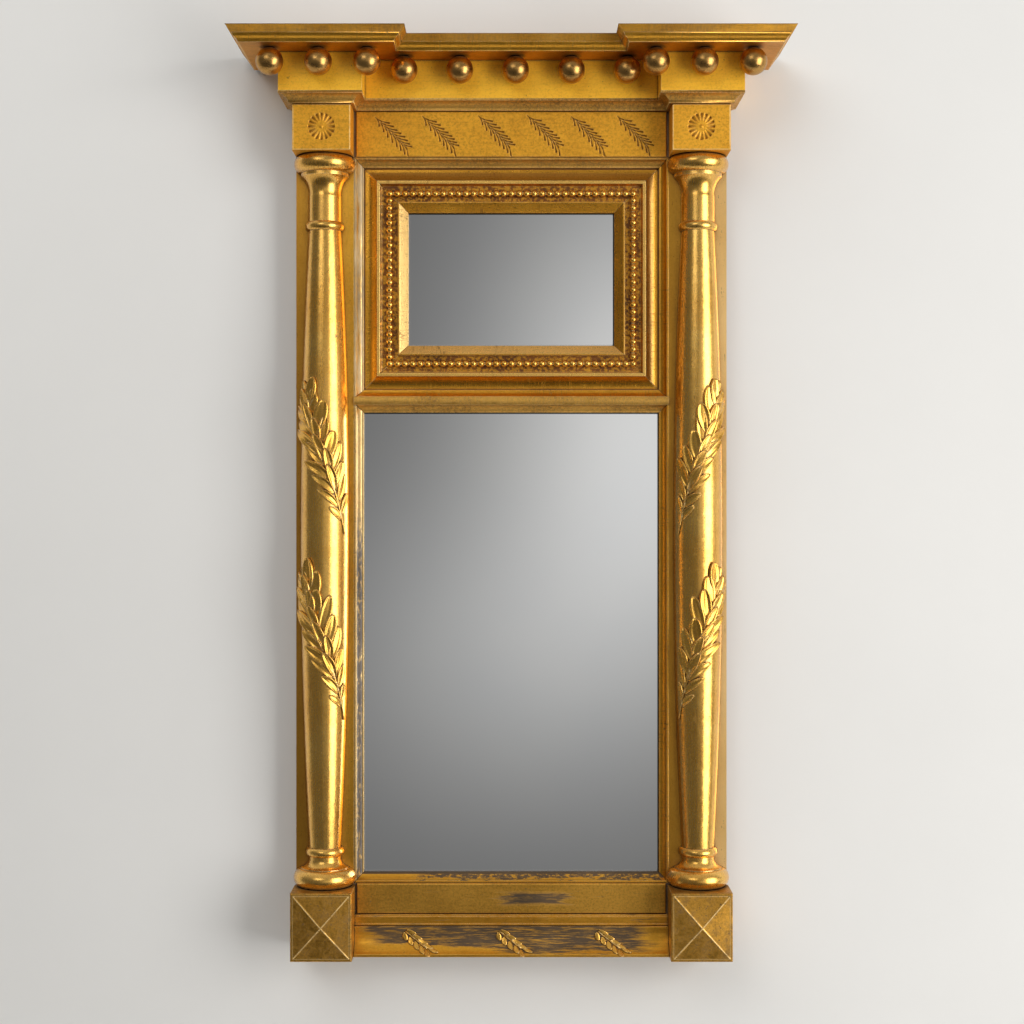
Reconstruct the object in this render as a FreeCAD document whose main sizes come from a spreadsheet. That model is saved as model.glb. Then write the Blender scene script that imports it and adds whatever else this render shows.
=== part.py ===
import FreeCAD, Part
import math
import os
import Sketcher

# Giltwood pillar mirror with a breakfront cornice, in millimetres.
# X runs to the right, the front faces -Y, Z is up. The wall plane is Y = 0 and the
# hangers' axis is at Z = 0. "Depth" is the distance in front of the wall plane.

SIZES = (
    # openings and carcass
    ("sight_width", 316, "width of both openings inside the sight mouldings"),
    ("lower_sight_height", 492, "height of the looking-glass opening"),
    ("upper_sight_height", 237.5, "height of the tablet opening"),
    ("stile_width", 61.5, "face width of a stile"),
    ("stile_thick", 25, "thickness of stiles and rails"),
    ("divider_gap", 4.5, "tongue of the divider rail between the sight mouldings"),
    ("divider_rail_lap", 4.5, "how far the divider rail reaches behind each sight moulding"),
    ("tenon_length", 22, "tenon into a stile"),
    ("tenon_thick", 8, "thickness of a tenon"),
    ("tenon_shoulder", 9, "shoulder above and below a tenon"),
    ("divider_shoulder", 2, "shoulder of the divider rail's tenon"),
    ("joint_play", 0.1, "clearance round a tenon, pin or screw"),
    ("rebate_width", 8, "width of the rebate for the backboards"),
    ("rebate_depth", 6, "depth of the rebate for the backboards"),
    ("hang_height", 29, "height of the hangers' axis above the foot of the dies"),
    # sight moulding
    ("strip_width", 10, "face width of a sight moulding"),
    ("strip_depth", 11, "thickness of a sight moulding"),
    ("strip_fillet", 2.5, "flat outer fillet"),
    ("strip_lip", 2, "flat lip at the sight edge"),
    ("strip_lip_thick", 3, "thickness at the lip"),
    ("strip_hollow", 1.2, "hollow between fillet and lip"),
    ("divider_bar_height", 9, "bar between the openings"),
    ("divider_bar_thick", 3, "thickness of that bar"),
    ("divider_bar_crown", 1.2, "rounding of its face"),
    # tablet frame
    ("tablet_width", 47.5, "visible width of a tablet member"),
    ("tablet_lip", 4, "lip held behind the sight moulding"),
    ("cove_width", 14, "outer cove"),
    ("cove_hollow", 2, "hollow of that cove"),
    ("cove_rise", 6, "rise of that cove"),
    ("ridge_width", 3.5, "raised fillet beside the cove"),
    ("ridge_step", 1, "step from cove to fillet"),
    ("ridge_slope", 1.5, "slope from fillet to channel"),
    ("channel_width", 17.5, "channel that holds the beads"),
    ("channel_thick", 10, "thickness of the member at the channel"),
    ("inner_ridge_width", 2, "fillet inside the channel"),
    ("inner_ridge_rise", 4, "its height above the channel"),
    ("sight_edge_thick", 7, "thickness at the tablet's sight edge"),
    ("plate_rebate", 6, "rebate width for the tablet plate"),
    ("bead_size", 7.4, "diameter of a bead"),
    ("bead_sink", 1, "how far a bead sinks into the channel"),
    ("bead_string_width", 3, "string that joins the beads"),
    ("bead_count_long", 33, "beads in a horizontal row"),
    ("bead_count_short", 22, "beads in a vertical row"),
    # plates and back
    ("plate_thick", 3.5, "mirror plates"),
    ("plate_lap", 5, "lap of a plate behind its sight edge"),
    ("plate_play", 0.3, "play round a plate or backboard"),
    ("block_length", 40, "glazing block"),
    ("nail_length", 16, "backboard nail"),
    ("nail_size", 1.6, "nail shank diameter"),
    ("nail_head", 4.4, "nail head diameter"),
    ("nail_head_thick", 0.4, "nail head thickness"),
    # foot
    ("base_panel_height", 32.5, "flat band under the looking-glass"),
    ("base_panel_thick", 3, "its thickness"),
    ("base_panel_side", 2, "gap from the panel to each plinth"),
    ("base_band_height", 11.5, "stepped strip"),
    ("base_band_out", 6, "its projection"),
    ("base_band_fillet", 2, "its upper and lower fillets"),
    ("base_band_step", 1, "step of those fillets"),
    ("base_cove_height", 29.5, "coved rail at the foot"),
    ("base_cove_out", 22, "its projection at the foot"),
    ("base_cove_top", 10, "its projection at the top"),
    ("base_cove_fillet", 3, "its fillets"),
    ("base_cove_hollow", 4, "its hollow"),
    # plinths, dies and friezes
    ("plinth_height", 71.5, "plinth block"),
    ("plinth_depth", 41, "its projection in front of the stile"),
    ("plinth_rise", 4, "rise of its pyramid face"),
    ("plinth_margin", 1.5, "flat margin round the pyramid"),
    ("plinth_side", 1.4, "its overhang beyond each edge of the stile"),
    ("block_round", 1.2, "rounded arris of the blocks"),
    ("die_height", 48.5, "block with the rosette, and the frieze panel"),
    ("die_depth", 36, "projection of that block in front of the stile"),
    ("frieze_panel_thick", 2, "panel between the dies"),
    ("frieze_panel_side", 2.8, "gap from that panel to each die"),
    ("bed_height", 10.5, "bed moulding"),
    ("bed_out", 13, "its projection"),
    ("bed_foot", 3.5, "projection of its lower fillet"),
    ("bed_fillet", 2, "height of its fillets"),
    ("bed_hollow", 1.6, "hollow of the bed moulding"),
    ("ball_frieze_height", 40.5, "frieze behind the balls"),
    # cornice
    ("soffit_out", 35, "overhang of the cornice board over the ball frieze"),
    ("crown_height", 15.5, "crown moulding"),
    ("crown_out", 12, "its projection from the board"),
    ("crown_foot", 0.8, "its lower fillet"),
    ("crown_curl", 6, "projection at the top of its ogee"),
    ("crown_curl_height", 8, "height of that point"),
    ("crown_sag", 0.3, "hollow and round of the ogee"),
    ("crown_quirk", 0.7, "quirk above the ogee"),
    ("board_drop", 3.5, "top of the cornice board below the top of the crown"),
    ("ball_size", 28.5, "diameter of a ball"),
    ("ball_clear", 1.5, "gap from a ball to the frieze behind it"),
    ("ball_pitch", 50, "spacing of the three balls of an end"),
    ("centre_ball_pitch", 58.5, "spacing of the five balls of the centre"),
    ("centre_ball_shift", 4.4, "the centre row sits this far right of the middle"),
    ("pin_size", 4, "pin of a ball"),
    ("pin_length", 7, "pin inside the cornice board"),
    # columns
    ("shaft_top", 17.6, "shaft radius under the capital"),
    ("shaft_swell", 8.6, "swelling of the shaft between its ends"),
    ("shaft_foot", 17.2, "shaft radius above the base"),
    ("capital_height", 79.5, "whole capital"),
    ("capital_torus_height", 18.5, "cushion under the die"),
    ("capital_torus_top", 28, "its radius at the die"),
    ("capital_torus_foot", 26.5, "its radius at the fillet"),
    ("capital_torus_round", 5.4, "its bulge"),
    ("capital_fillet_height", 3.6, "fillet under the cushion"),
    ("capital_fillet_radius", 25.7, "its radius"),
    ("capital_cove_height", 21, "cove from neck to fillet"),
    ("capital_cove_hollow", 3, "its hollow"),
    ("neck_radius", 17.8, "neck of the capital"),
    ("ring_height", 9.2, "astragal at the foot of the capital"),
    ("ring_radius", 18.4, "astragal's seat radius"),
    ("ring_round", 2.3, "bulge of the astragals"),
    ("base_height", 41, "whole base"),
    ("base_torus_height", 19, "cushion on the plinth"),
    ("base_torus_foot", 27.5, "its radius at the plinth"),
    ("base_torus_round", 6.2, "its bulge"),
    ("base_quirk", 1, "quirk above the cushion"),
    ("base_shoulder_height", 8, "shoulder above the quirk"),
    ("base_shoulder_hollow", 1.8, "hollow of the shoulder"),
    ("base_neck_height", 4, "neck under the base's astragal"),
    # leaf sprays
    ("spray_thick", 1.7, "relief of a leaf spray"),
    ("spray_length", 168, "height of a spray"),
    ("spray_reach", 21, "how far a spray reaches to each side of the shaft's axis"),
    ("spray_upper", 92, "middle of the upper spray above mid-shaft"),
    ("spray_lower", -105, "middle of the lower spray below mid-shaft"),
    ("spray_leaves", 8, "leaves on each side of the stem"),
    ("leaf_length", 27, "longest leaf"),
    ("leaf_width", 8.5, "its width"),
    ("stem_width", 2.6, "stem"),
    # fasteners and hangers
    ("screw_size", 4, "column screw shank diameter"),
    ("screw_head", 8, "its head diameter"),
    ("screw_head_thick", 2.5, "its head"),
    ("screw_bite", 12, "how far it enters the shaft"),
    ("screw_spacing", 250, "between the screws of one column"),
    ("strap_width", 14, "hanger strap"),
    ("strap_length", 40, "from the ring's axis to its foot"),
    ("strap_thick", 0.9, "its leaf"),
    ("barrel_wall", 1.2, "wall of its barrel"),
    ("strap_screw_first", 22, "from the ring's axis to the first screw"),
    ("strap_screw_pitch", 10, "between the two screws"),
    ("strap_screw_size", 3.4, "strap screw shank diameter"),
    ("strap_screw_length", 14, "strap screw shank"),
    ("strap_screw_dome", 4, "radius of its domed head"),
    ("ring_wire", 3, "wire of the D-ring"),
    ("ring_play", 0.08, "running clearance of the ring in its barrel"),
    ("ring_width", 22, "D-ring between the centres of its legs"),
    ("ring_corner", 3, "bend at the ends of its bar"),
    ("ring_leg", 1, "straight leg"),
)

doc = FreeCAD.newDocument("giltwood_mirror")
sheet = doc.addObject("Spreadsheet::Sheet", "size")
for row, (alias, value, note) in enumerate(SIZES, start=1):
    sheet.set(f"A{row}", note)
    sheet.set(f"B{row}", str(value))
    sheet.setAlias(f"B{row}", alias)
places = doc.addObject("App::VarSet", "at")
doc.recompute()


class Dim:
    """A length together with the sheet expression that it comes from."""

    def __init__(self, text, value):
        self.text = text
        self.value = float(value)

    def __add__(self, other):
        other = dim(other)
        return Dim(f"({self.text} + {other.text})", self.value + other.value)

    def __radd__(self, other):
        return dim(other) + self

    def __sub__(self, other):
        other = dim(other)
        return Dim(f"({self.text} - {other.text})", self.value - other.value)

    def __rsub__(self, other):
        return dim(other) - self

    def __mul__(self, other):
        other = dim(other)
        return Dim(f"({self.text} * {other.text})", self.value * other.value)

    def __rmul__(self, other):
        return dim(other) * self

    def __truediv__(self, other):
        other = dim(other)
        return Dim(f"({self.text} / {other.text})", self.value / other.value)

    def __neg__(self):
        return self * -1


def dim(value):
    return value if isinstance(value, Dim) else Dim(repr(float(value)), value)


class Sizes:
    """The sheet's sizes by name."""

    def __getattr__(self, alias):
        return Dim(f"size.{alias}", getattr(sheet, alias))


S = Sizes()


def named(name, length):
    """Keep a derived place in the document under its own name."""
    places.addProperty("App::PropertyFloat", name, "Places", "")
    places.setExpression(name, length.text)
    return Dim(f"at.{name}", length.value)


# levels, from the foot upwards; the hangers' axis is the zero
base_rail_height = named("base_rail_height",
                         S.base_cove_height + S.base_band_height + S.base_panel_height)
openings_height = named("openings_height", S.lower_sight_height + S.divider_gap
                        + S.upper_sight_height + 4 * S.strip_width)
foot = named("foot", -S.hang_height - openings_height - base_rail_height)
cove_top = named("cove_top", foot + S.base_cove_height)
band_top = named("band_top", cove_top + S.base_band_height)
rail_top = named("rail_top", band_top + S.base_panel_height)
lower_sight_foot = named("lower_sight_foot", rail_top + S.strip_width)
lower_sight_head = named("lower_sight_head", lower_sight_foot + S.lower_sight_height)
tongue_foot = named("tongue_foot", lower_sight_head + S.strip_width)
tongue_head = named("tongue_head", tongue_foot + S.divider_gap)
divider_middle = named("divider_middle", (tongue_foot + tongue_head) / 2)
upper_sight_foot = named("upper_sight_foot", tongue_head + S.strip_width)
upper_sight_head = named("upper_sight_head", upper_sight_foot + S.upper_sight_height)
die_foot = named("die_foot", upper_sight_head + S.strip_width)
die_head = named("die_head", die_foot + S.die_height)
ball_frieze_foot = named("ball_frieze_foot", die_head + S.bed_height)
soffit = named("soffit", ball_frieze_foot + S.ball_frieze_height)
crown_top = named("crown_top", soffit + S.crown_height)
plinth_top = named("plinth_top", foot + S.plinth_height)
shaft_foot_level = named("shaft_foot_level", plinth_top + S.base_height)
shaft_top_level = named("shaft_top_level", die_foot - S.capital_height)

# half widths from the middle
sight_half = named("sight_half", S.sight_width / 2)
stile_in = named("stile_in", sight_half + S.strip_width)
stile_out = named("stile_out", stile_in + S.stile_width)
column_x = named("column_x", (stile_in + stile_out) / 2)
plinth_in = named("plinth_in", stile_in - S.plinth_side)
plinth_out = named("plinth_out", stile_out + S.plinth_side)
ball_frieze_in = named("ball_frieze_in", stile_in - S.bed_out)
ball_frieze_out = named("ball_frieze_out", stile_out + S.bed_out)
board_in = named("board_in", ball_frieze_in - S.soffit_out)
board_out = named("board_out", ball_frieze_out + S.soffit_out)

# depths in front of the wall
face = named("face", S.stile_thick)
panel_face = named("panel_face", face + S.frieze_panel_thick)
die_face = named("die_face", face + S.die_depth)
ball_frieze_front = named("ball_frieze_front", die_face + S.bed_out)
centre_frieze_front = named("centre_frieze_front", panel_face + S.bed_out)
board_front = named("board_front", ball_frieze_front + S.soffit_out)
centre_board_front = named("centre_board_front", centre_frieze_front + S.soffit_out)
strip_back = named("strip_back", face - S.strip_depth)

nodes = []


def node(obj, label):
    obj.Label = label
    nodes.append(obj)
    return obj


def place(obj, x=0, depth=0, z=0, turn=None):
    """Put an object at x, at a depth in front of the wall and at a level."""
    if turn is not None:
        obj.Placement = FreeCAD.Placement(FreeCAD.Vector(), turn)
    for axis, length in (("x", dim(x)), ("y", -dim(depth)), ("z", dim(z))):
        obj.setExpression(f"Placement.Base.{axis}", length.text)
    return obj


def set_sizes(obj, **lengths):
    for name, length in lengths.items():
        obj.setExpression(name, dim(length).text)
    return obj


def box(name, x, depth, z):
    """A board between two x, two depths and two levels."""
    obj = doc.addObject("Part::Box", name)
    set_sizes(obj, Length=x[1] - x[0], Width=depth[1] - depth[0], Height=z[1] - z[0])
    return place(obj, x[0], depth[1], z[0])


def cylinder(name, radius, height, x, depth, z, turn=None):
    obj = doc.addObject("Part::Cylinder", name)
    set_sizes(obj, Radius=radius, Height=height)
    return place(obj, x, depth, z, turn)


def fuse(name, pieces):
    obj = doc.addObject("Part::MultiFuse", name)
    obj.Shapes = pieces
    return obj


def cut(name, base, tools):
    obj = doc.addObject("Part::Cut", name)
    obj.Base = base
    obj.Tool = tools[0] if len(tools) == 1 else group(name + "_tools", tools)
    return obj


def group(name, pieces):
    obj = doc.addObject("Part::Compound", name)
    obj.Links = pieces
    return obj


TO_FRONT = FreeCAD.Rotation(FreeCAD.Vector(1, 0, 0), 90)
TO_BACK = FreeCAD.Rotation(FreeCAD.Vector(1, 0, 0), -90)
ALONG_X = FreeCAD.Rotation(FreeCAD.Vector(0, 1, 0), 90)


def about_y(degrees):
    return FreeCAD.Rotation(FreeCAD.Vector(0, 1, 0), degrees)


def about_z(degrees):
    return FreeCAD.Rotation(FreeCAD.Vector(0, 0, 1), degrees)


def new_body(name):
    return doc.addObject("PartDesign::Body", name)


def origin_plane(body, role):
    return [item for item in body.Origin.OriginFeatures if item.Role == role][0]


def arc_between(start, end, rise):
    """Arc from start to end that bulges to the right of the way by rise."""
    chord = end - start
    side = FreeCAD.Vector(chord.y, -chord.x, 0).normalize()
    return Part.Arc(start, (start + end) / 2 + side * rise, end)


def outline(body, role, corners):
    """Closed sketch. A corner is (across, up) or (across, up, rise of the arc that follows)."""
    sketch = body.newObject("Sketcher::SketchObject", body.Name + "_outline")
    sketch.AttachmentSupport = [(origin_plane(body, role), "")]
    sketch.MapMode = "FlatFace"
    spots = [FreeCAD.Vector(dim(c[0]).value, dim(c[1]).value, 0) for c in corners]
    count = len(corners)
    for i, corner in enumerate(corners):
        start, end = spots[i], spots[(i + 1) % count]
        if len(corner) == 2:
            sketch.addGeometry(Part.LineSegment(start, end))
        else:
            sketch.addGeometry(arc_between(start, end, dim(corner[2]).value))
    arcs = {i for i in range(count) if len(corners[i]) == 3}

    def end_of(i, last):
        # an arc is stored anticlockwise, so one that bulges left has its ends swapped
        swapped = i in arcs and dim(corners[i][2]).value < 0
        return 2 if last != swapped else 1

    for i in range(count):
        following = (i + 1) % count
        sketch.addConstraint(Sketcher.Constraint(
            "Coincident", i, end_of(i, True), following, end_of(following, False)))
    for i, corner in enumerate(corners):
        for kind, length in (("DistanceX", dim(corner[0])), ("DistanceY", dim(corner[1]))):
            index = sketch.addConstraint(Sketcher.Constraint(
                kind, -1, 1, i, end_of(i, False), length.value))
            sketch.setExpression(f"Constraints[{index}]", length.text)
        if i in arcs:
            rise = dim(corner[2]) if dim(corner[2]).value > 0 else -dim(corner[2])
            after = corners[(i + 1) % count]
            across, up = dim(after[0]) - corner[0], dim(after[1]) - corner[1]
            radius = (across * across + up * up) / (8 * rise) + rise / 2
            index = sketch.addConstraint(Sketcher.Constraint("Radius", i, radius.value))
            sketch.setExpression(f"Constraints[{index}]", radius.text)
    return sketch


def pad(body, sketch, length, midplane=False):
    feature = body.newObject("PartDesign::Pad", body.Name + "_pad")
    feature.Profile = sketch
    feature.Midplane = midplane
    return set_sizes(feature, Length=length)


def prism(name, role, corners, length, midplane=False):
    body = new_body(name)
    pad(body, outline(body, role, corners), length, midplane)
    return body


def half_turning(name, corners):
    """Half-round turning whose flat back lies on the stile. Corners are (radius, level)."""
    body = new_body(name)
    feature = body.newObject("PartDesign::Revolution", name + "_turning")
    sketch = outline(body, "XZ_Plane", corners)
    feature.Profile = sketch
    feature.ReferenceAxis = (sketch, ["V_Axis"])
    feature.Angle = 180
    feature.Reversed = True
    return body


OUTSIDE, SQUARE, INSIDE = 1, 0, -1


def moulding(name, corners, run, out, ends):
    """Length of moulding along X, with its back on Y = 0 and its face towards -Y.

    Corners are (projection, height). Each end is mitred round an outside or inside corner,
    or cut square; run is the length along the back.
    """
    body = new_body(name)
    # the sketch looks along X, so projections run to its left and arcs turn the other way
    profile = [(-dim(c[0]), c[1]) + tuple(-dim(rise) for rise in c[2:]) for c in corners]
    spare = 2 * out
    pad(body, outline(body, "YZ_Plane", profile), run + 2 * spare, True)
    for side, end in zip((-1, 1), ends):
        body.newObject("PartDesign::Pocket", f"{name}_mitre")
        pocket = body.Tip
        back = side * (run / 2)
        edge = [(back - side * end * out, out), (back + side * end * spare, -spare)]
        beyond = side * (run / 2 + 2 * spare)
        pocket.Profile = outline(body, "XY_Plane", edge + [(beyond, -spare), (beyond, out)])
        pocket.Type = "ThroughAll"
        pocket.Midplane = True
    return body


def sides():
    return (("left", -1), ("right", 1))


def span(side, inner, outer):
    """The two x of a piece between two distances from the middle, on one side."""
    return (inner, outer) if side > 0 else (-outer, -inner)


def tenon_depths():
    middle = (face + S.rebate_depth) / 2
    return middle - S.tenon_thick / 2, middle + S.tenon_thick / 2


def divider_depths():
    return S.rebate_depth, strip_back


# rails: what each tenon reaches, as (foot, head, back, front)
RAIL_TENONS = {
    "bottom": (foot + S.tenon_shoulder, rail_top - S.tenon_shoulder) + tenon_depths(),
    "divider": (tongue_foot - S.divider_rail_lap + S.divider_shoulder,
                tongue_head + S.divider_rail_lap - S.divider_shoulder) + divider_depths(),
    "frieze": (die_foot + S.tenon_shoulder, soffit - S.tenon_shoulder) + tenon_depths(),
}


def tenons(rail):
    low, high, back, front = RAIL_TENONS[rail]
    return [box(f"{rail}_tenon_{name}", span(side, stile_in, stile_in + S.tenon_length),
                (back, front), (low, high)) for name, side in sides()]


def mortise(rail, name, side):
    low, high, back, front = RAIL_TENONS[rail]
    play = S.joint_play
    deep = stile_in + S.tenon_length + play
    # the divider's tenon lies against the back rebate, so its mortise opens there
    return box(f"{rail}_mortise_{name}", span(side, stile_in - 1, deep),
               (back - play, front + play), (low - play, high + play))


def column_screw_levels():
    middle = (shaft_foot_level + shaft_top_level) / 2
    return [middle + step * S.screw_spacing for step in (-1, 0, 1)]


def strap_screw_levels():
    return [-S.strap_screw_first - step * S.strap_screw_pitch for step in (0, 1)]


def nail_spots():
    """(x, level) of each backboard nail."""
    edge = stile_in + S.rebate_width / 2
    low, high = rail_top - S.rebate_width / 2, die_foot + S.rebate_width / 2
    spots = []
    for side in (-1, 1):
        for part in (0.15, 0.5, 0.85):
            spots.append((side * edge, low + part * (divider_middle - low)))
        for part in (0.25, 0.75):
            spots.append((side * edge, divider_middle + part * (high - divider_middle)))
    for level in (low, high):
        spots += [(part * sight_half, level) for part in (-0.5, 0.5)]
    return spots


def nail_holes(name, wanted):
    """Holes for the nails whose spot is wanted, as deep as the nails."""
    return [cylinder(f"{name}_hole_{i}", S.nail_size / 2 + S.joint_play / 2,
                     S.nail_length + S.joint_play, x, 0, level, TO_FRONT)
            for i, (x, level) in enumerate(nail_spots()) if wanted(x.value, level.value)]


def make_carcass():
    for name, side in sides():
        label = f"stile_{name}"
        board = box(f"{label}_board", span(side, stile_in, stile_out), (dim(0), face), (foot, soffit))
        tools = [mortise(rail, name, side) for rail in RAIL_TENONS]
        tools.append(box(f"{label}_rebate", span(side, stile_in - 1, stile_in + S.rebate_width),
                         (dim(-1), S.rebate_depth),
                         (rail_top - S.rebate_width, die_foot + S.rebate_width)))
        for i, level in enumerate(column_screw_levels()):
            tools.append(screw_hole(f"{label}_screw_hole_{i}", side * column_x, level))
        for i, level in enumerate(strap_screw_levels()):
            tools.append(cylinder(
                f"{label}_strap_hole_{i}", S.strap_screw_size / 2 + S.joint_play / 2,
                S.strap_screw_length + S.joint_play, side * column_x, 0, level, TO_FRONT))
        tools += nail_holes(label, lambda x, z, side=side: x * side > stile_in.value)
        node(cut(label, board, tools), label)

    middle = (-stile_in, stile_in)
    bottom = fuse("bottom_rail_blank",
                  [box("bottom_rail_board", middle, (dim(0), face), (foot, rail_top))] + tenons("bottom"))
    rebate = box("bottom_rail_rebate", middle, (dim(-1), S.rebate_depth),
                 (rail_top - S.rebate_width, rail_top + 1))
    holes = nail_holes("bottom_rail", lambda x, z: abs(x) < stile_in.value and z < divider_middle.value)
    node(cut("bottom_rail", bottom, [rebate] + holes), "bottom_rail")

    frieze = fuse("frieze_rail_blank",
                  [box("frieze_rail_board", middle, (dim(0), face), (die_foot, soffit))] + tenons("frieze"))
    rebate = box("frieze_rail_rebate", middle, (dim(-1), S.rebate_depth),
                 (die_foot - 1, die_foot + S.rebate_width))
    holes = nail_holes("frieze_rail", lambda x, z: abs(x) < stile_in.value and z > divider_middle.value)
    node(cut("frieze_rail", frieze, [rebate] + holes), "frieze_rail")

    low, high = tongue_foot - S.divider_rail_lap, tongue_head + S.divider_rail_lap
    node(fuse("divider_rail",
              [box("divider_rail_bar", middle, (S.rebate_depth, strip_back), (low, high)),
               box("divider_rail_tongue", middle, (strip_back, face), (tongue_foot, tongue_head))]
              + tenons("divider")), "divider_rail")


def screw_hole(name, x, level):
    """Clearance hole with its countersink, from the back of the stile into the shaft."""
    play = S.joint_play / 2
    shank = cylinder(f"{name}_shank", S.screw_size / 2 + play, face + S.screw_bite + play,
                     x, 0, level, TO_FRONT)
    sink = screw_cone(f"{name}_sink", x, level, play)
    return fuse(name, [shank, sink])


def screw_cone(name, x, level, play):
    cone = doc.addObject("Part::Cone", name)
    set_sizes(cone, Radius1=S.screw_head / 2 + play, Radius2=S.screw_size / 2 + play,
              Height=S.screw_head_thick)
    return place(cone, x, 0, level, TO_FRONT)


def frame_of(name, corners, width, half, low, high, depth):
    """Four mitred members round an opening; half, low and high are its outer edges."""
    tall, wide = high - low, 2 * half
    middle = (low + high) / 2
    for label, run, x, z, degrees in (
            ("top", wide, dim(0), high, 0), ("right", tall, half, middle, 90),
            ("bottom", wide, dim(0), low, 180), ("left", tall, -half, middle, -90)):
        piece = moulding(f"{name}_{label}", corners, run, width, (INSIDE, INSIDE))
        place(piece, x, depth, z, about_y(degrees).multiply(TO_FRONT))
        node(piece, f"{name}_{label}")


def make_sight_mouldings():
    step = S.strip_width - S.strip_lip
    corners = [(0, 0), (S.strip_width, 0), (S.strip_width, S.strip_lip_thick),
               (step, S.strip_lip_thick, -S.strip_hollow), (S.strip_fillet, S.strip_depth),
               (0, S.strip_depth)]
    frame_of("upper_sight", corners, S.strip_width, stile_in, tongue_head, die_foot, strip_back)
    frame_of("lower_sight", corners, S.strip_width, stile_in, rail_top, tongue_foot, strip_back)
    half = S.divider_bar_height / 2
    flat = S.divider_bar_thick - S.divider_bar_crown
    bar = moulding("divider_bar", [(0, -half), (flat, -half, S.divider_bar_crown), (flat, half), (0, half)],
                   2 * stile_in, S.divider_bar_thick, (SQUARE, SQUARE))
    node(place(bar, 0, face, divider_middle), "divider_bar")


def make_tablet():
    lip_thick = strip_back - S.rebate_depth
    cove_end = S.tablet_lip + S.cove_width
    ridge_end = cove_end + S.ridge_width
    channel_start = ridge_end + S.ridge_slope
    channel_end = channel_start + S.channel_width
    inner_ridge_end = channel_end + S.inner_ridge_width
    out = S.tablet_lip + S.tablet_width
    cove_head = lip_thick + S.cove_rise
    inner_ridge = S.channel_thick + S.inner_ridge_rise
    corners = [(0, 0), (out - S.plate_rebate, 0), (out - S.plate_rebate, S.plate_thick),
               (out, S.plate_thick), (out, S.sight_edge_thick),
               (inner_ridge_end, inner_ridge), (channel_end, inner_ridge),
               (channel_end, S.channel_thick), (channel_start, S.channel_thick),
               (ridge_end, cove_head + S.ridge_step), (cove_end, cove_head + S.ridge_step),
               (cove_end, cove_head, -S.cove_hollow), (S.tablet_lip, lip_thick), (0, lip_thick)]
    frame_of("tablet", corners, out, sight_half + S.tablet_lip,
             upper_sight_foot - S.tablet_lip, upper_sight_head + S.tablet_lip, S.rebate_depth)

    bead_line = channel_start + S.channel_width / 2 - S.tablet_lip
    floor = S.rebate_depth + S.channel_thick
    half_x = sight_half - bead_line
    low, high = upper_sight_foot + bead_line, upper_sight_head - bead_line
    middle = (low + high) / 2
    bead_pair("beads_long", 2 * half_x, int(sheet.bead_count_long), floor,
              ((dim(0), low, 0), (dim(0), high, 0)))
    bead_pair("beads_short", high - low - S.bead_size * 2, int(sheet.bead_count_short), floor,
              ((-half_x, middle, 90), (half_x, middle, 90)))


def bead_pair(name, length, count, floor, seats):
    """Two rows of beads on a string, each lying in the floor of the channel."""
    rows = []
    radius = S.bead_size / 2
    width = S.bead_string_width
    step = length / (count - 1)
    for number, (x, z, degrees) in enumerate(seats):
        pieces = []
        string = doc.addObject("Part::Box", f"{name}_{number}_string")
        set_sizes(string, Length=length, Width=radius, Height=width)
        pieces.append(place(string, -length / 2, radius, -width / 2))
        for i in range(count):
            ball = doc.addObject("Part::Sphere", f"{name}_{number}_{i}")
            set_sizes(ball, Radius=radius)
            pieces.append(place(ball, -length / 2 + i * step, radius - S.bead_sink, 0))
        row = fuse(f"{name}_{number}_row", pieces)
        under = box(f"{name}_{number}_under", (-length, length), (-S.bead_size, dim(0)),
                    (-S.bead_size, S.bead_size))
        seated = cut(f"{name}_{number}_seated", row, [under])
        rows.append(place(seated, x, floor, z, about_y(degrees)))
    node(group(name, rows), name)


def make_plates_and_back():
    play = S.plate_play
    half = sight_half + S.plate_lap
    node(box("main_mirror", (-half, half), (strip_back - S.plate_thick, strip_back),
             (lower_sight_foot - S.plate_lap, lower_sight_head + S.plate_lap - play)), "main_mirror")

    rebate_half = sight_half - S.tablet_width + S.plate_rebate - play
    low = upper_sight_foot + S.tablet_width - S.plate_rebate + play
    high = upper_sight_head - S.tablet_width + S.plate_rebate - play
    node(box("tablet_mirror", (-rebate_half, rebate_half), (S.rebate_depth, S.rebate_depth + S.plate_thick),
             (low, high)), "tablet_mirror")

    width = stile_in + S.rebate_width - play
    thick = (S.nail_head_thick, S.rebate_depth)
    for label, z in (("main_backboard", (rail_top - S.rebate_width + play, divider_middle - play)),
                     ("tablet_backboard", (divider_middle + play, die_foot + S.rebate_width - play))):
        board = box(f"{label}_board", (-width, width), thick, z)
        low, high = z[0].value, z[1].value
        node(cut(label, board, nail_holes(label, lambda x, level: low < level < high)), label)

    nails = []
    for i, (x, level) in enumerate(nail_spots()):
        shank = cylinder(f"nail_{i}_shank", S.nail_size / 2, S.nail_length, x, 0, level, TO_FRONT)
        head = cylinder(f"nail_{i}_head", S.nail_head / 2, S.nail_head_thick, x, 0, level, TO_FRONT)
        nails.append(fuse(f"nail_{i}", [shank, head]))
    node(group("backboard_nails", nails), "backboard_nails")

    blocks = []
    depths = (S.rebate_depth, strip_back - S.plate_thick)
    for name, side in sides():
        for i, part in enumerate((0.15, 0.5, 0.85)):
            level = lower_sight_foot + part * S.lower_sight_height
            blocks.append(box(f"glazing_block_{name}_{i}", span(side, sight_half, stile_in), depths,
                              (level - S.block_length / 2, level + S.block_length / 2)))
    for i, part in enumerate((-0.6, 0.6)):
        x = part * sight_half
        blocks.append(box(f"glazing_block_foot_{i}", (x - S.block_length / 2, x + S.block_length / 2), depths,
                          (rail_top, lower_sight_foot)))
    node(group("glazing_blocks", blocks), "glazing_blocks")


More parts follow.
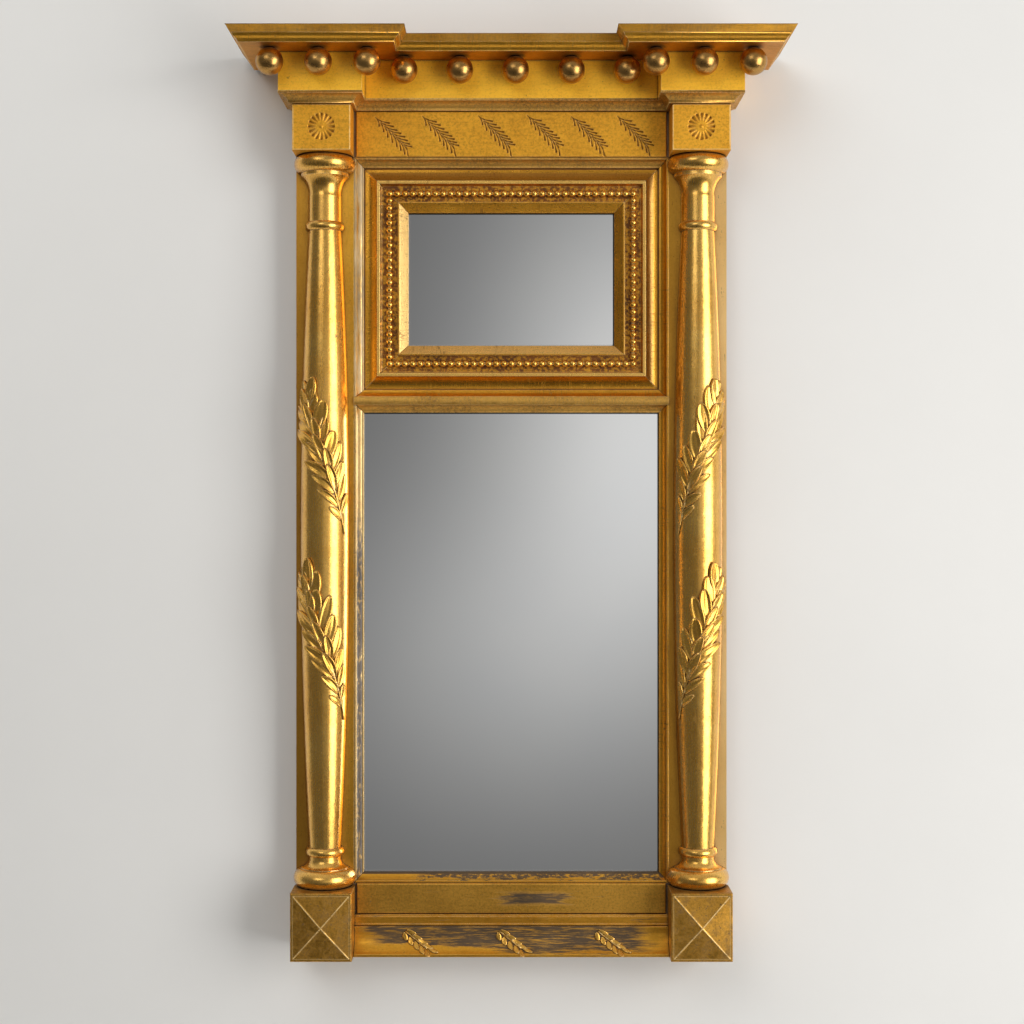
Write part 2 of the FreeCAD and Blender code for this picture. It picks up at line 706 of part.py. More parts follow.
def make_foot():
    cove = [(0, 0), (S.base_cove_out, 0),
            (S.base_cove_out, S.base_cove_fillet, -S.base_cove_hollow),
            (S.base_cove_top, S.base_cove_height - S.base_cove_fillet),
            (S.base_cove_top, S.base_cove_height), (0, S.base_cove_height)]
    piece = moulding("base_cove", cove, 2 * plinth_in, S.base_cove_out, (SQUARE, SQUARE))
    node(place(piece, 0, face, foot), "base_cove")

    out, step, fillet = S.base_band_out, S.base_band_step, S.base_band_fillet
    high = S.base_band_height
    band = [(0, 0), (out + step, 0), (out + step, fillet), (out, fillet), (out, high - fillet),
            (out - step, high - fillet), (out - step, high), (0, high)]
    piece = moulding("base_band", band, 2 * plinth_in, out + step, (SQUARE, SQUARE))
    node(place(piece, 0, face, cove_top), "base_band")

    half = plinth_in - S.base_panel_side
    flat_panel("base_panel", half, S.base_panel_thick, (band_top, rail_top))


def flat_panel(label, half, thick, z):
    """Applied panel with a softened front arris."""
    body = prism(label, "XZ_Plane", [(-half, z[0]), (half, z[0]), (half, z[1]), (-half, z[1])], thick)
    doc.recompute()
    soften(body, thick / 2, lambda edge: edge.BoundBox.YMax < -thick.value + 0.01)
    node(place(body, 0, face, 0), label)


def soften(body, radius, wanted):
    """Round the wanted edges of the body's last feature."""
    last = body.Tip
    names = [f"Edge{i}" for i, edge in enumerate(last.Shape.Edges, start=1) if wanted(edge)]
    fillet = body.newObject("PartDesign::Fillet", body.Name + "_round")
    fillet.Base = (last, names)
    return set_sizes(fillet, Radius=radius)


def block(label, x, depth, z):
    """Solid block with rounded upright arrises on its front."""
    body = prism(label, "XZ_Plane", [(x[0], z[0]), (x[1], z[0]), (x[1], z[1]), (x[0], z[1])], depth)
    doc.recompute()
    front = -depth.value
    soften(body, S.block_round, lambda edge: edge.BoundBox.YMax < front + 0.01)
    return body


def make_blocks():
    for name, side in sides():
        x = span(side, plinth_in, plinth_out)
        body = block(f"plinth_{name}_block", x, S.plinth_depth, (foot, plinth_top))
        place(body, 0, face, 0)
        margin = S.block_round + S.plinth_margin
        wide, tall = plinth_out - plinth_in - 2 * margin, S.plinth_height - 2 * margin
        pyramid = doc.addObject("Part::Wedge", f"plinth_{name}_pyramid")
        set_sizes(pyramid, Xmin=-wide / 2, Xmax=wide / 2, Zmin=-tall / 2, Zmax=tall / 2, Ymin=0,
                  Ymax=S.plinth_rise, X2min=0, X2max=0, Z2min=0, Z2max=0)
        place(pyramid, side * column_x, face + S.plinth_depth, (foot + plinth_top) / 2, about_z(180))
        node(fuse(f"plinth_{name}", [body, pyramid]), f"plinth_{name}")

        body = block(f"die_{name}", span(side, stile_in, stile_out), S.die_depth, (die_foot, die_head))
        node(place(body, 0, face, 0), f"die_{name}")

    flat_panel("frieze_panel", stile_in - S.frieze_panel_side, S.frieze_panel_thick, (die_foot, die_head))


def make_columns():
    ring_head = S.ring_height
    cove_foot = S.capital_height - S.capital_torus_height - S.capital_fillet_height - S.capital_cove_height
    fillet_foot = cove_foot + S.capital_cove_height
    torus_foot = fillet_foot + S.capital_fillet_height
    capital = [(0, 0), (S.ring_radius, 0, S.ring_round), (S.ring_radius, ring_head),
               (S.neck_radius, ring_head), (S.neck_radius, cove_foot, -S.capital_cove_hollow),
               (S.capital_fillet_radius, fillet_foot), (S.capital_fillet_radius, torus_foot),
               (S.capital_torus_foot, torus_foot, S.capital_torus_round),
               (S.capital_torus_top, S.capital_height), (0, S.capital_height)]
    shaft_length = shaft_top_level - shaft_foot_level
    shaft = [(0, 0), (S.shaft_foot, 0, S.shaft_swell), (S.shaft_top, shaft_length), (0, shaft_length)]
    quirk_foot = S.base_torus_height
    shoulder_foot = quirk_foot + S.base_quirk
    shoulder_head = shoulder_foot + S.base_shoulder_height
    neck_head = shoulder_head + S.base_neck_height
    torus_head = S.base_torus_foot - S.base_quirk
    shoulder_out = torus_head - S.base_quirk
    base = [(0, 0), (S.base_torus_foot, 0, S.base_torus_round), (torus_head, quirk_foot),
            (shoulder_out, quirk_foot), (shoulder_out, shoulder_foot, -S.base_shoulder_hollow),
            (S.shaft_foot, shoulder_head), (S.shaft_foot, neck_head),
            (S.ring_radius, neck_head, S.ring_round), (S.ring_radius, S.base_height), (0, S.base_height)]
    for name, side in sides():
        x = side * column_x
        node(place(half_turning(f"base_{name}", base), x, face, plinth_top), f"base_{name}")
        node(place(half_turning(f"capital_{name}", capital), x, face, shaft_top_level), f"capital_{name}")
        blank = place(half_turning(f"shaft_{name}_blank", shaft), x, face, shaft_foot_level)
        holes = [screw_hole(f"shaft_{name}_screw_hole_{i}", x, level)
                 for i, level in enumerate(column_screw_levels())]
        node(cut(f"shaft_{name}", blank, holes), f"shaft_{name}")

    screws = []
    for name, side in sides():
        for i, level in enumerate(column_screw_levels()):
            shank = cylinder(f"column_screw_{name}_{i}_shank", S.screw_size / 2, face + S.screw_bite,
                             side * column_x, 0, level, TO_FRONT)
            cone = screw_cone(f"column_screw_{name}_{i}_head", side * column_x, level, 0)
            screws.append(fuse(f"column_screw_{name}_{i}", [shank, cone]))
    node(group("column_screws", screws), "column_screws")


def leaf_prism(x, z, degrees, length, width):
    """Pointed oval with its root at x, z, standing out towards the front."""
    root, tip = FreeCAD.Vector(0, 0, 0), FreeCAD.Vector(0, 0, length)
    sides_of_leaf = [Part.Arc(root, FreeCAD.Vector(side * width / 2, 0, length * 0.55), tip).toShape()
                     for side in (-1, 1)]
    shape = Part.Face(Part.Wire(sides_of_leaf)).extrude(FreeCAD.Vector(0, -stile_out.value, 0))
    shape.Placement = FreeCAD.Placement(FreeCAD.Vector(x, 0, z), about_y(degrees))
    return shape


def spray_outline():
    """Stem and leaves of one spray as prisms, leaning from lower right to upper left."""
    reach, tall = sheet.spray_reach, sheet.spray_length
    count = int(sheet.spray_leaves)
    lean = -math.degrees(math.atan2(2 * reach, tall))
    stem = leaf_prism(reach, -tall / 2, lean, math.hypot(2 * reach, tall), sheet.stem_width)
    pieces = [stem]
    for i in range(count):
        along = 0.16 + 0.68 * i / (count - 1)
        x, z = reach - 2 * reach * along, tall * (along - 0.5)
        fullness = 0.55 + 0.45 * math.sin(math.pi * along)
        for side in (-1, 1):
            pieces.append(leaf_prism(x, z, lean + side * (34 - 14 * along), sheet.leaf_length * fullness,
                                     sheet.leaf_width * fullness))
    return pieces[0].multiFuse(pieces[1:])


def make_sprays():
    thick = sheet.spray_thick
    shaft_length = shaft_top_level.value - shaft_foot_level.value

    def solid_of_shaft(extra):
        foot_point = FreeCAD.Vector(sheet.shaft_foot + extra, 0, -shaft_length / 2)
        head_point = FreeCAD.Vector(sheet.shaft_top + extra, 0, shaft_length / 2)
        edges = [arc_profile(foot_point, head_point, sheet.shaft_swell)]
        corners = [head_point, FreeCAD.Vector(0, 0, head_point.z),
                   FreeCAD.Vector(0, 0, foot_point.z), foot_point]
        edges += [Part.makeLine(a, b) for a, b in zip(corners, corners[1:])]
        whole = Part.Face(Part.Wire(edges)).revolve(FreeCAD.Vector(), FreeCAD.Vector(0, 0, 1), -180)
        return whole

    skin = solid_of_shaft(thick).cut(solid_of_shaft(0))
    prisms = spray_outline()
    middle = (shaft_foot_level.value + shaft_top_level.value) / 2
    for label, level in (("upper", sheet.spray_upper), ("lower", sheet.spray_lower)):
        moved = prisms.copy()
        moved.translate(FreeCAD.Vector(0, 0, level))
        spray = moved.common(skin).removeSplitter()
        for name, side in sides():
            feature = doc.addObject("Part::Feature", f"leaf_spray_{name}_{label}")
            feature.Shape = spray if side < 0 else spray.mirror(FreeCAD.Vector(), FreeCAD.Vector(1, 0, 0))
            feature.Placement = FreeCAD.Placement(
                FreeCAD.Vector(side * column_x.value, -face.value, middle), FreeCAD.Rotation())
            node(feature, f"leaf_spray_{name}_{label}")


def arc_profile(foot_point, head_point, rise):
    """Swelling line of the shaft between two radii."""
    chord = head_point - foot_point
    side = FreeCAD.Vector(chord.z, 0, -chord.x).normalize()
    return Part.Arc(foot_point, (foot_point + head_point) / 2 + side * rise, head_point).toShape()


def bed_corners():
    return [(0, 0), (S.bed_foot, 0), (S.bed_foot, S.bed_fillet, -S.bed_hollow),
            (S.bed_out, S.bed_height - S.bed_fillet), (S.bed_out, S.bed_height), (0, S.bed_height)]


def crown_corners():
    middle_out = (S.crown_foot + S.crown_curl) / 2
    middle_up = (S.crown_foot + S.crown_curl_height) / 2
    quirk = S.crown_curl_height + S.crown_quirk
    return [(0, 0), (S.crown_foot, 0), (S.crown_foot, S.crown_foot, -S.crown_sag),
            (middle_out, middle_up, S.crown_sag), (S.crown_curl, S.crown_curl_height),
            (S.crown_curl, quirk), (S.crown_curl + S.crown_quirk, quirk),
            (S.crown_out, S.crown_height), (0, S.crown_height)]


def breakfront(name, corners, out, inner, outer, front, centre_front, level):
    """Moulding round both projecting ends and across the centre, on faces at these places."""
    centre = moulding(f"{name}_centre", corners, 2 * inner, out, (INSIDE, INSIDE))
    pieces = {"centre": place(centre, 0, centre_front, level)}
    for label, side in sides():
        ends = (INSIDE, OUTSIDE) if side > 0 else (OUTSIDE, INSIDE)
        run = outer - inner
        face_piece = moulding(f"{name}_{label}_front", corners, run, out, (OUTSIDE, OUTSIDE))
        place(face_piece, side * (inner + outer) / 2, front, level)
        depth = front - centre_front
        inner_piece = moulding(f"{name}_{label}_inner", corners, depth, out, ends)
        place(inner_piece, side * inner, (front + centre_front) / 2, level, about_z(-90 * side))
        ends = (OUTSIDE, SQUARE) if side > 0 else (SQUARE, OUTSIDE)
        outer_piece = moulding(f"{name}_{label}_outer", corners, front, out, ends)
        place(outer_piece, side * outer, front / 2, level, about_z(90 * side))
        pieces[label] = group(f"{name}_{label}", [face_piece, inner_piece, outer_piece])
    return pieces


def make_entablature():
    bed = breakfront("bed_moulding", bed_corners(), S.bed_out, stile_in, stile_out,
                     die_face, panel_face, die_head)
    node(group("bed_moulding", [bed["left"], bed["centre"], bed["right"]]), "bed_moulding")

    for name, side in sides():
        inner, outer, notch = side * ball_frieze_in, side * ball_frieze_out, side * stile_out
        corners = [(inner, -face), (inner, -ball_frieze_front), (outer, -ball_frieze_front), (outer, 0),
                   (notch, 0), (notch, -face)]
        body = prism(f"ball_frieze_{name}", "XY_Plane", corners, S.ball_frieze_height)
        node(place(body, 0, 0, ball_frieze_foot), f"ball_frieze_{name}")
    node(box("ball_frieze_centre", (-ball_frieze_in, ball_frieze_in), (face, centre_frieze_front),
             (ball_frieze_foot, soffit)), "ball_frieze_centre")

    crown = breakfront("crown", crown_corners(), S.crown_out, board_in, board_out,
                       board_front, centre_board_front, soffit)
    for label, piece in crown.items():
        node(piece, f"crown_{label}")

    plan = [(-board_out, 0), (-board_out, -board_front), (-board_in, -board_front),
            (-board_in, -centre_board_front), (board_in, -centre_board_front), (board_in, -board_front),
            (board_out, -board_front), (board_out, 0)]
    board = prism("cornice_board_blank", "XY_Plane", plan, S.crown_height - S.board_drop)
    place(board, 0, 0, soffit)
    balls, holes = [], []
    for i, (x, depth) in enumerate(ball_spots()):
        level = soffit - S.ball_size / 2 - S.joint_play
        ball = doc.addObject("Part::Sphere", f"ball_{i}_round")
        place(set_sizes(ball, Radius=S.ball_size / 2), x, depth, level)
        pin = cylinder(f"ball_{i}_pin", S.pin_size / 2, S.ball_size / 2 + S.joint_play + S.pin_length,
                       x, depth, level)
        balls.append(fuse(f"ball_{i}", [ball, pin]))
        holes.append(cylinder(f"ball_{i}_hole", S.pin_size / 2 + S.joint_play / 2,
                              S.pin_length + S.joint_play, x, depth, soffit))
    node(cut("cornice_board", board, holes), "cornice_board")
    node(group("frieze_balls", balls), "frieze_balls")


def ball_spots():
    stand = S.ball_size / 2 + S.ball_clear
    spots = []
    for side in (-1, 1):
        spots += [(side * column_x + step * S.ball_pitch, ball_frieze_front + stand) for step in (-1, 0, 1)]
    spots += [(S.centre_ball_shift + step * S.centre_ball_pitch, centre_frieze_front + stand)
              for step in (-2, -1, 0, 1, 2)]
    return spots


def make_hangers():
    wire = S.ring_wire / 2
    bore = wire + S.ring_play
    shell = bore + S.barrel_wall
    straps, screws = [], []
    for name, side in sides():
        x = side * column_x
        half = S.strap_width / 2
        leaf = box(f"strap_{name}_leaf", (x - half, x + half), (-S.strap_thick, dim(0)),
                   (-S.strap_length, dim(0)))
        barrel = cylinder(f"strap_{name}_barrel", shell, S.strap_width, x - half, -shell, 0, ALONG_X)
        tools = [cylinder(f"strap_{name}_bore", bore, S.strap_width, x - half, -shell, 0, ALONG_X)]
        for i, level in enumerate(strap_screw_levels()):
            tools.append(cylinder(f"strap_{name}_hole_{i}", S.strap_screw_size / 2 + S.joint_play / 2,
                                  S.strap_thick, x, 0, level, TO_BACK))
            shank = cylinder(f"strap_screw_{name}_{i}_shank", S.strap_screw_size / 2,
                             S.strap_screw_length + S.strap_thick, x, -S.strap_thick, level, TO_FRONT)
            dome = screw_dome(f"strap_screw_{name}_{i}_dome", x, level)
            screws.append(fuse(f"strap_screw_{name}_{i}", [shank, dome]))
        straps.append(cut(f"strap_{name}", fuse(f"strap_{name}_blank", [leaf, barrel]), tools))
        node(d_ring(f"hang_ring_{name}", x, -shell), f"hang_ring_{name}")
    node(group("hanger_straps", straps), "hanger_straps")
    node(group("hanger_screws", screws), "hanger_screws")


def screw_dome(name, x, level):
    """Domed head whose flat side lies on the strap."""
    latitude = 45
    dome = doc.addObject("Part::Sphere", name)
    set_sizes(dome, Radius=S.strap_screw_dome)
    dome.Angle1 = latitude
    dome.Angle2 = 90
    sunk = S.strap_screw_dome * math.sin(math.radians(latitude))
    return place(dome, x, sunk - S.strap_thick, level, TO_BACK)


def d_ring(name, x, depth):
    """Ring bent from round wire: a bar, two corners, two legs and a half round, hanging down."""
    wire, corner, half = S.ring_wire / 2, S.ring_corner, S.ring_width / 2
    bar = half - corner
    bow = -corner - S.ring_leg
    pieces = [cylinder(f"{name}_bar", wire, 2 * bar, x - bar, depth, 0, ALONG_X)]
    for label, side in sides():
        pieces.append(cylinder(f"{name}_leg_{label}", wire, S.ring_leg, x + side * half, depth, bow))
        start = 0 if side > 0 else 90
        pieces.append(bend(f"{name}_corner_{label}", corner, wire, 90, x + side * bar, depth, -corner, start))
    pieces.append(bend(f"{name}_bow", half, wire, 180, x, depth, bow, 180))
    return fuse(name, pieces)


def bend(name, radius, wire, sweep, x, depth, z, start):
    """Part of a ring of wire in an upright plane, turned up from +X by start degrees."""
    ring = doc.addObject("Part::Torus", name)
    set_sizes(ring, Radius1=radius, Radius2=wire)
    ring.Angle3 = sweep
    return place(ring, x, depth, z, about_y(-start).multiply(TO_FRONT))


make_carcass()
make_sight_mouldings()
make_tablet()
make_plates_and_back()
make_foot()
make_blocks()
make_columns()
make_sprays()
make_entablature()
make_hangers()
doc.recompute()

for item in doc.Objects:
    if "Invalid" in item.State or "Error" in item.State:
        raise RuntimeError(f"{item.Name} failed: {item.State}")
for item in nodes:
    if item.Shape.isNull() or not item.Shape.isValid():
        raise RuntimeError(f"{item.Label} has no valid shape")

os.makedirs("parts", exist_ok=True)
for item in nodes:
    item.Shape.exportStep(f"parts/{item.Label}.step")
    print(item.Label, len(item.Shape.Solids), round(item.Shape.Volume))
print(len(nodes), "nodes")
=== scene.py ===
import math
import random

import bpy
import numpy as np
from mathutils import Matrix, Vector


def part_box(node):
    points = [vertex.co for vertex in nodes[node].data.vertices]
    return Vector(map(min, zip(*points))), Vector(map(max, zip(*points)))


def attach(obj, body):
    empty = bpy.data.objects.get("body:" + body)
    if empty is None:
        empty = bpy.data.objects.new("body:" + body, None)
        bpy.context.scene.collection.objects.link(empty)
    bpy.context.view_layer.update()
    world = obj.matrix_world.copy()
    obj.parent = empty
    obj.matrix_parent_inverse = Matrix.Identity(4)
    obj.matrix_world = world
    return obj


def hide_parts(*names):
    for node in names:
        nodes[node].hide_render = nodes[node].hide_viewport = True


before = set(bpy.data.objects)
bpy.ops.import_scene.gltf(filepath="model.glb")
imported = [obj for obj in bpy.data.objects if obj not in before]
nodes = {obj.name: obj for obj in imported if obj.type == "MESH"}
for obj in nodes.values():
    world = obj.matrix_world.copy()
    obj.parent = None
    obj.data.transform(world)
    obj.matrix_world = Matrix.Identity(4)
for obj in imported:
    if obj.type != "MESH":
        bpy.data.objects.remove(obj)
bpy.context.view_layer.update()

# Looks of the giltwood pillar mirror. Metres, the CAD part's own frame: front towards -Y, Z up.

chance = random.Random(7)

FRAME_BODY = "frame"
MM = 0.001


# materials

class Nodes:
    """Node tree of a material or a world, with short calls."""

    def __init__(self, owner):
        owner.use_nodes = True
        self.tree = owner.node_tree
        self.tree.nodes.clear()

    def add(self, kind, **settings):
        item = self.tree.nodes.new(kind)
        for key, value in settings.items():
            setattr(item, key, value)
        return item

    def link(self, source, target):
        self.tree.links.new(source, target)

    def put(self, socket, value):
        """Feed a socket with another socket or with a plain value."""
        if isinstance(value, bpy.types.NodeSocket):
            self.link(value, socket)
        else:
            socket.default_value = value

    def math(self, kind, a, b=0.0):
        item = self.add("ShaderNodeMath", operation=kind)
        self.put(item.inputs[0], a)
        self.put(item.inputs[1], b)
        return item.outputs[0]

    def times(self, first, *others):
        """Product of values."""
        for value in others:
            first = self.math("MULTIPLY", first, value)
        return first

    def most(self, first, *others):
        """Largest of values."""
        for value in others:
            first = self.math("MAXIMUM", first, value)
        return first

    def apart(self, a, b):
        """How far apart two values are."""
        return self.math("ABSOLUTE", self.math("SUBTRACT", a, b))


class Shader(Nodes):
    """A material, with short calls for its textures and masks."""

    def __init__(self, name):
        self.material = bpy.data.materials.new(name)
        super().__init__(self.material)
        self.surface = self.add("ShaderNodeBsdfPrincipled")
        self.out = self.add("ShaderNodeOutputMaterial")
        self.link(self.surface.outputs[0], self.out.inputs["Surface"])
        self.place = self.add("ShaderNodeTexCoord").outputs["Object"]

    def stretched(self, scale):
        item = self.add("ShaderNodeMapping")
        self.link(self.place, item.inputs["Vector"])
        item.inputs["Scale"].default_value = scale
        return item.outputs[0]

    def noise(self, scale, detail, rough, where=None):
        item = self.add("ShaderNodeTexNoise")
        self.link(where or self.place, item.inputs["Vector"])
        item.inputs["Scale"].default_value = scale
        item.inputs["Detail"].default_value = detail
        item.inputs["Roughness"].default_value = rough
        return item.outputs["Fac"]

    def streaked(self, scale, detail, rough):
        """Noise with a scale of its own on each axis."""
        return self.noise(1.0, detail, rough, self.stretched(scale))

    def cracks(self, scale, where):
        """Distance to the nearest line of a net of cracks."""
        item = self.add("ShaderNodeTexVoronoi", feature="DISTANCE_TO_EDGE")
        self.link(where, item.inputs["Vector"])
        item.inputs["Scale"].default_value = scale
        return item.outputs["Distance"]

    def ramp(self, value, low, high, start=0.0, end=1.0):
        item = self.add("ShaderNodeMapRange")
        self.put(item.inputs["Value"], value)
        for key, number in (("From Min", low), ("From Max", high), ("To Min", start), ("To Max", end)):
            item.inputs[key].default_value = number
        return item.outputs[0]

    def blend(self, share, a, b):
        item = self.add("ShaderNodeMix", data_type="RGBA")
        self.put(item.inputs["Factor"], share)
        self.put(item.inputs[6], a if isinstance(a, bpy.types.NodeSocket) else (*a, 1.0))
        self.put(item.inputs[7], b if isinstance(b, bpy.types.NodeSocket) else (*b, 1.0))
        return item.outputs[2]

    def recess(self, reach, floor=0.35, open_at=0.85):
        """1 deep in a recess, 0 in the open."""
        item = self.add("ShaderNodeAmbientOcclusion", samples=6)
        item.inputs["Distance"].default_value = reach
        return self.ramp(item.outputs["AO"], floor, open_at, 1.0, 0.0)

    def arris(self, radius):
        """1 on sharp edges, 0 on flat faces."""
        round_normal = self.add("ShaderNodeBevel", samples=4)
        round_normal.inputs["Radius"].default_value = radius
        true_normal = self.add("ShaderNodeNewGeometry").outputs["Normal"]
        dot = self.add("ShaderNodeVectorMath", operation="DOT_PRODUCT")
        self.link(round_normal.outputs[0], dot.inputs[0])
        self.link(true_normal, dot.inputs[1])
        return self.ramp(dot.outputs["Value"], 0.996, 0.90)

    def facing(self, axis, low, high):
        """Ramp of one part of the surface normal."""
        normal = self.add("ShaderNodeSeparateXYZ")
        self.link(self.add("ShaderNodeNewGeometry").outputs["Normal"], normal.inputs[0])
        return self.ramp(normal.outputs[axis], low, high)

    def spot(self, axis):
        """One coordinate of the surface, in the part's frame."""
        point = self.add("ShaderNodeSeparateXYZ")
        self.link(self.place, point.inputs[0])
        return point.outputs[axis]

    def band(self, value, low, high, soft):
        """1 between two values, 0 outside."""
        return self.times(self.ramp(value, low - soft, low + soft),
                          self.ramp(value, high - soft, high + soft, 1.0, 0.0))

    def bump(self, height, depth, strength):
        item = self.add("ShaderNodeBump")
        item.inputs["Strength"].default_value = strength
        item.inputs["Distance"].default_value = depth
        self.link(height, item.inputs["Height"])
        return item.outputs[0]

    def finish(self, colour, rough, metal, normal=None):
        for key, value in (("Base Color", colour), ("Roughness", rough), ("Metallic", metal)):
            self.put(self.surface.inputs[key], value)
        if normal is not None:
            self.link(normal, self.surface.inputs["Normal"])
        return self.material


# colours of leaf, as its gold and its shade, and of the grounds under it, as light and dark

GOLD = ((0.93, 0.475, 0.055), (0.80, 0.365, 0.034))
BRIGHT = ((0.97, 0.56, 0.115), (0.86, 0.42, 0.05))
RUSSET = ((0.88, 0.42, 0.045), (0.68, 0.30, 0.028))
# leaf of the left sight strips, paler than the matching strips at the right: partly rubbed leaf over a cream
# ground, partly a painted lit side
PALE_AND_LIT = ((0.72, 0.46, 0.14), (0.56, 0.33, 0.085))
PALE_FLAKED_AND_LIT = ((0.80, 0.54, 0.20), PALE_AND_LIT[1])
RUBBED_THIN = ((0.80, 0.45, 0.095), (0.64, 0.34, 0.065))
FRIEZE_LEAF = ((0.86, 0.43, 0.036), (0.72, 0.34, 0.027))
DIE_LEAF = ((0.90, 0.45, 0.038), (0.76, 0.36, 0.028))
MATTE_LEAF = ((1.0, 0.54, 0.030), (0.94, 0.47, 0.024))
BOARD_LEAF = (GOLD[1], (0.55, 0.24, 0.025))
BALL_LEAF = ((0.60, 0.335, 0.10), (0.45, 0.24, 0.065))
BLOCK_LEAF = ((0.68, 0.35, 0.055), (0.46, 0.23, 0.034))
PANEL_LEAF = ((0.86, 0.45, 0.070), (0.60, 0.30, 0.042))

RED_BOLE = ((0.20, 0.058, 0.014), (0.035, 0.024, 0.014))
GREY = ((0.118, 0.073, 0.037), (0.062, 0.040, 0.021))
CREAM = ((0.74, 0.56, 0.31), (0.20, 0.145, 0.09))
CHANNEL = ((0.22, 0.072, 0.007), (0.070, 0.024, 0.003))
ASH = ((0.155, 0.122, 0.095), (0.072, 0.056, 0.043))
SANDY = ((0.40, 0.215, 0.055), (0.14, 0.064, 0.014))

# pale of rubbed arrises, partly a painted highlight
RUBBED_EDGE_AND_HIGHLIGHT = (0.95, 0.70, 0.33)
# pale of painted highlight lines
HIGHLIGHT_LINE = (0.96, 0.67, 0.28)
# near black of seams found by occlusion: dirt and painted shade
SEAM_DIRT_AND_SHADE = (0.018, 0.009, 0.004)
# painted shade in carved cuts
CUT_SHADE = (0.22, 0.088, 0.009)

# scales of texture on each axis: burnishing marks, crackle across a piece, grain of pine

SIDEWAYS = (48.0, 160.0, 520.0)
UPRIGHT = (520.0, 160.0, 48.0)
EVEN_MARKS = (300.0, 300.0, 300.0)
TURNED_MARKS = (200.0, 200.0, 420.0)
BLOCK_MARKS = (120.0, 160.0, 160.0)
ACROSS_RAIL = (1.0, 0.06, 0.06)
ACROSS_POST = (0.06, 0.06, 1.0)
GRAIN_SIDEWAYS = (3.0, 60.0, 60.0)
GRAIN_UPRIGHT = (60.0, 60.0, 3.0)


def bare_pine(shader, grain):
    """Colour of old bare pine and its streaks, with the grain along the axis of the smallest scale."""
    where = shader.stretched(grain)
    lines = shader.noise(9.0, 6.0, 0.62, where)
    broad = shader.noise(1.4, 2.0, 0.5, where)
    wood = shader.blend(shader.ramp(lines, 0.32, 0.68), (0.20, 0.115, 0.052), (0.36, 0.235, 0.125))
    return shader.blend(shader.ramp(broad, 0.4, 0.75), wood, (0.16, 0.092, 0.042)), lines


def leaf_patches(shader):
    """Broad uneven patches in the leaf."""
    return shader.noise(17.0, 4.0, 0.6)


def leaf_colour(shader, leaf, marks, mottle):
    """Gold in broad patches, with burnishing marks and a fine grain."""
    gold, shade = leaf
    dull = tuple(0.62 * part for part in shade)
    glint = tuple(min(1.0, 1.18 * part) for part in gold)
    grain = shader.noise(430.0, 4.0, 0.7)
    colour = shader.blend(shader.ramp(leaf_patches(shader), 0.36, 0.72), gold, shade)
    colour = shader.blend(shader.ramp(marks, 0.5, 0.78, 0.0, 0.45), colour, dull)
    colour = shader.blend(shader.ramp(grain, 0.50, 0.66, 0.0, mottle), colour, dull)
    return shader.blend(shader.ramp(grain, 0.48, 0.34, 0.0, 0.8 * mottle), colour, glint)


def leaf_pits(shader, patches, spots, wear):
    """Small pits through the leaf, more of them in some patches."""
    share = shader.times(spots, shader.ramp(patches, 0.3, 0.7, 0.75, 1.08))
    start, soft = 0.68 - 0.06 * wear, 0.08
    return shader.ramp(share, start, start + soft, 0.0, min(1.0, 1.4 * wear))


def crackle_lines(shader, crackle, spots):
    """Net of fine cracks, broken here and there."""
    net = shader.ramp(shader.cracks(300.0, shader.stretched(crackle)), 0.0, 0.06, 1.0, 0.0)
    return shader.times(net, shader.ramp(spots, 0.42, 0.58))


def left_ungilt(shader, grain, spots, colour, metal, gloss):
    """Bare pine on the back of a board and an ochre wash on its ends."""
    wood, _ = bare_pine(shader, grain)
    back = shader.facing("Y", 0.5, 0.8)
    ends = shader.most(shader.facing("X", 0.7, 0.95), shader.facing("X", -0.7, -0.95))
    ochre = shader.blend(shader.ramp(spots, 0.35, 0.65), (0.36, 0.17, 0.032), (0.25, 0.11, 0.02))
    colour = shader.blend(back, shader.blend(ends, colour, ochre), wood)
    ungilt = shader.most(back, ends)
    metal = shader.times(metal, shader.math("SUBTRACT", 1.0, ungilt))
    gloss = shader.most(gloss, shader.times(ungilt, 0.75))
    return colour, metal, gloss


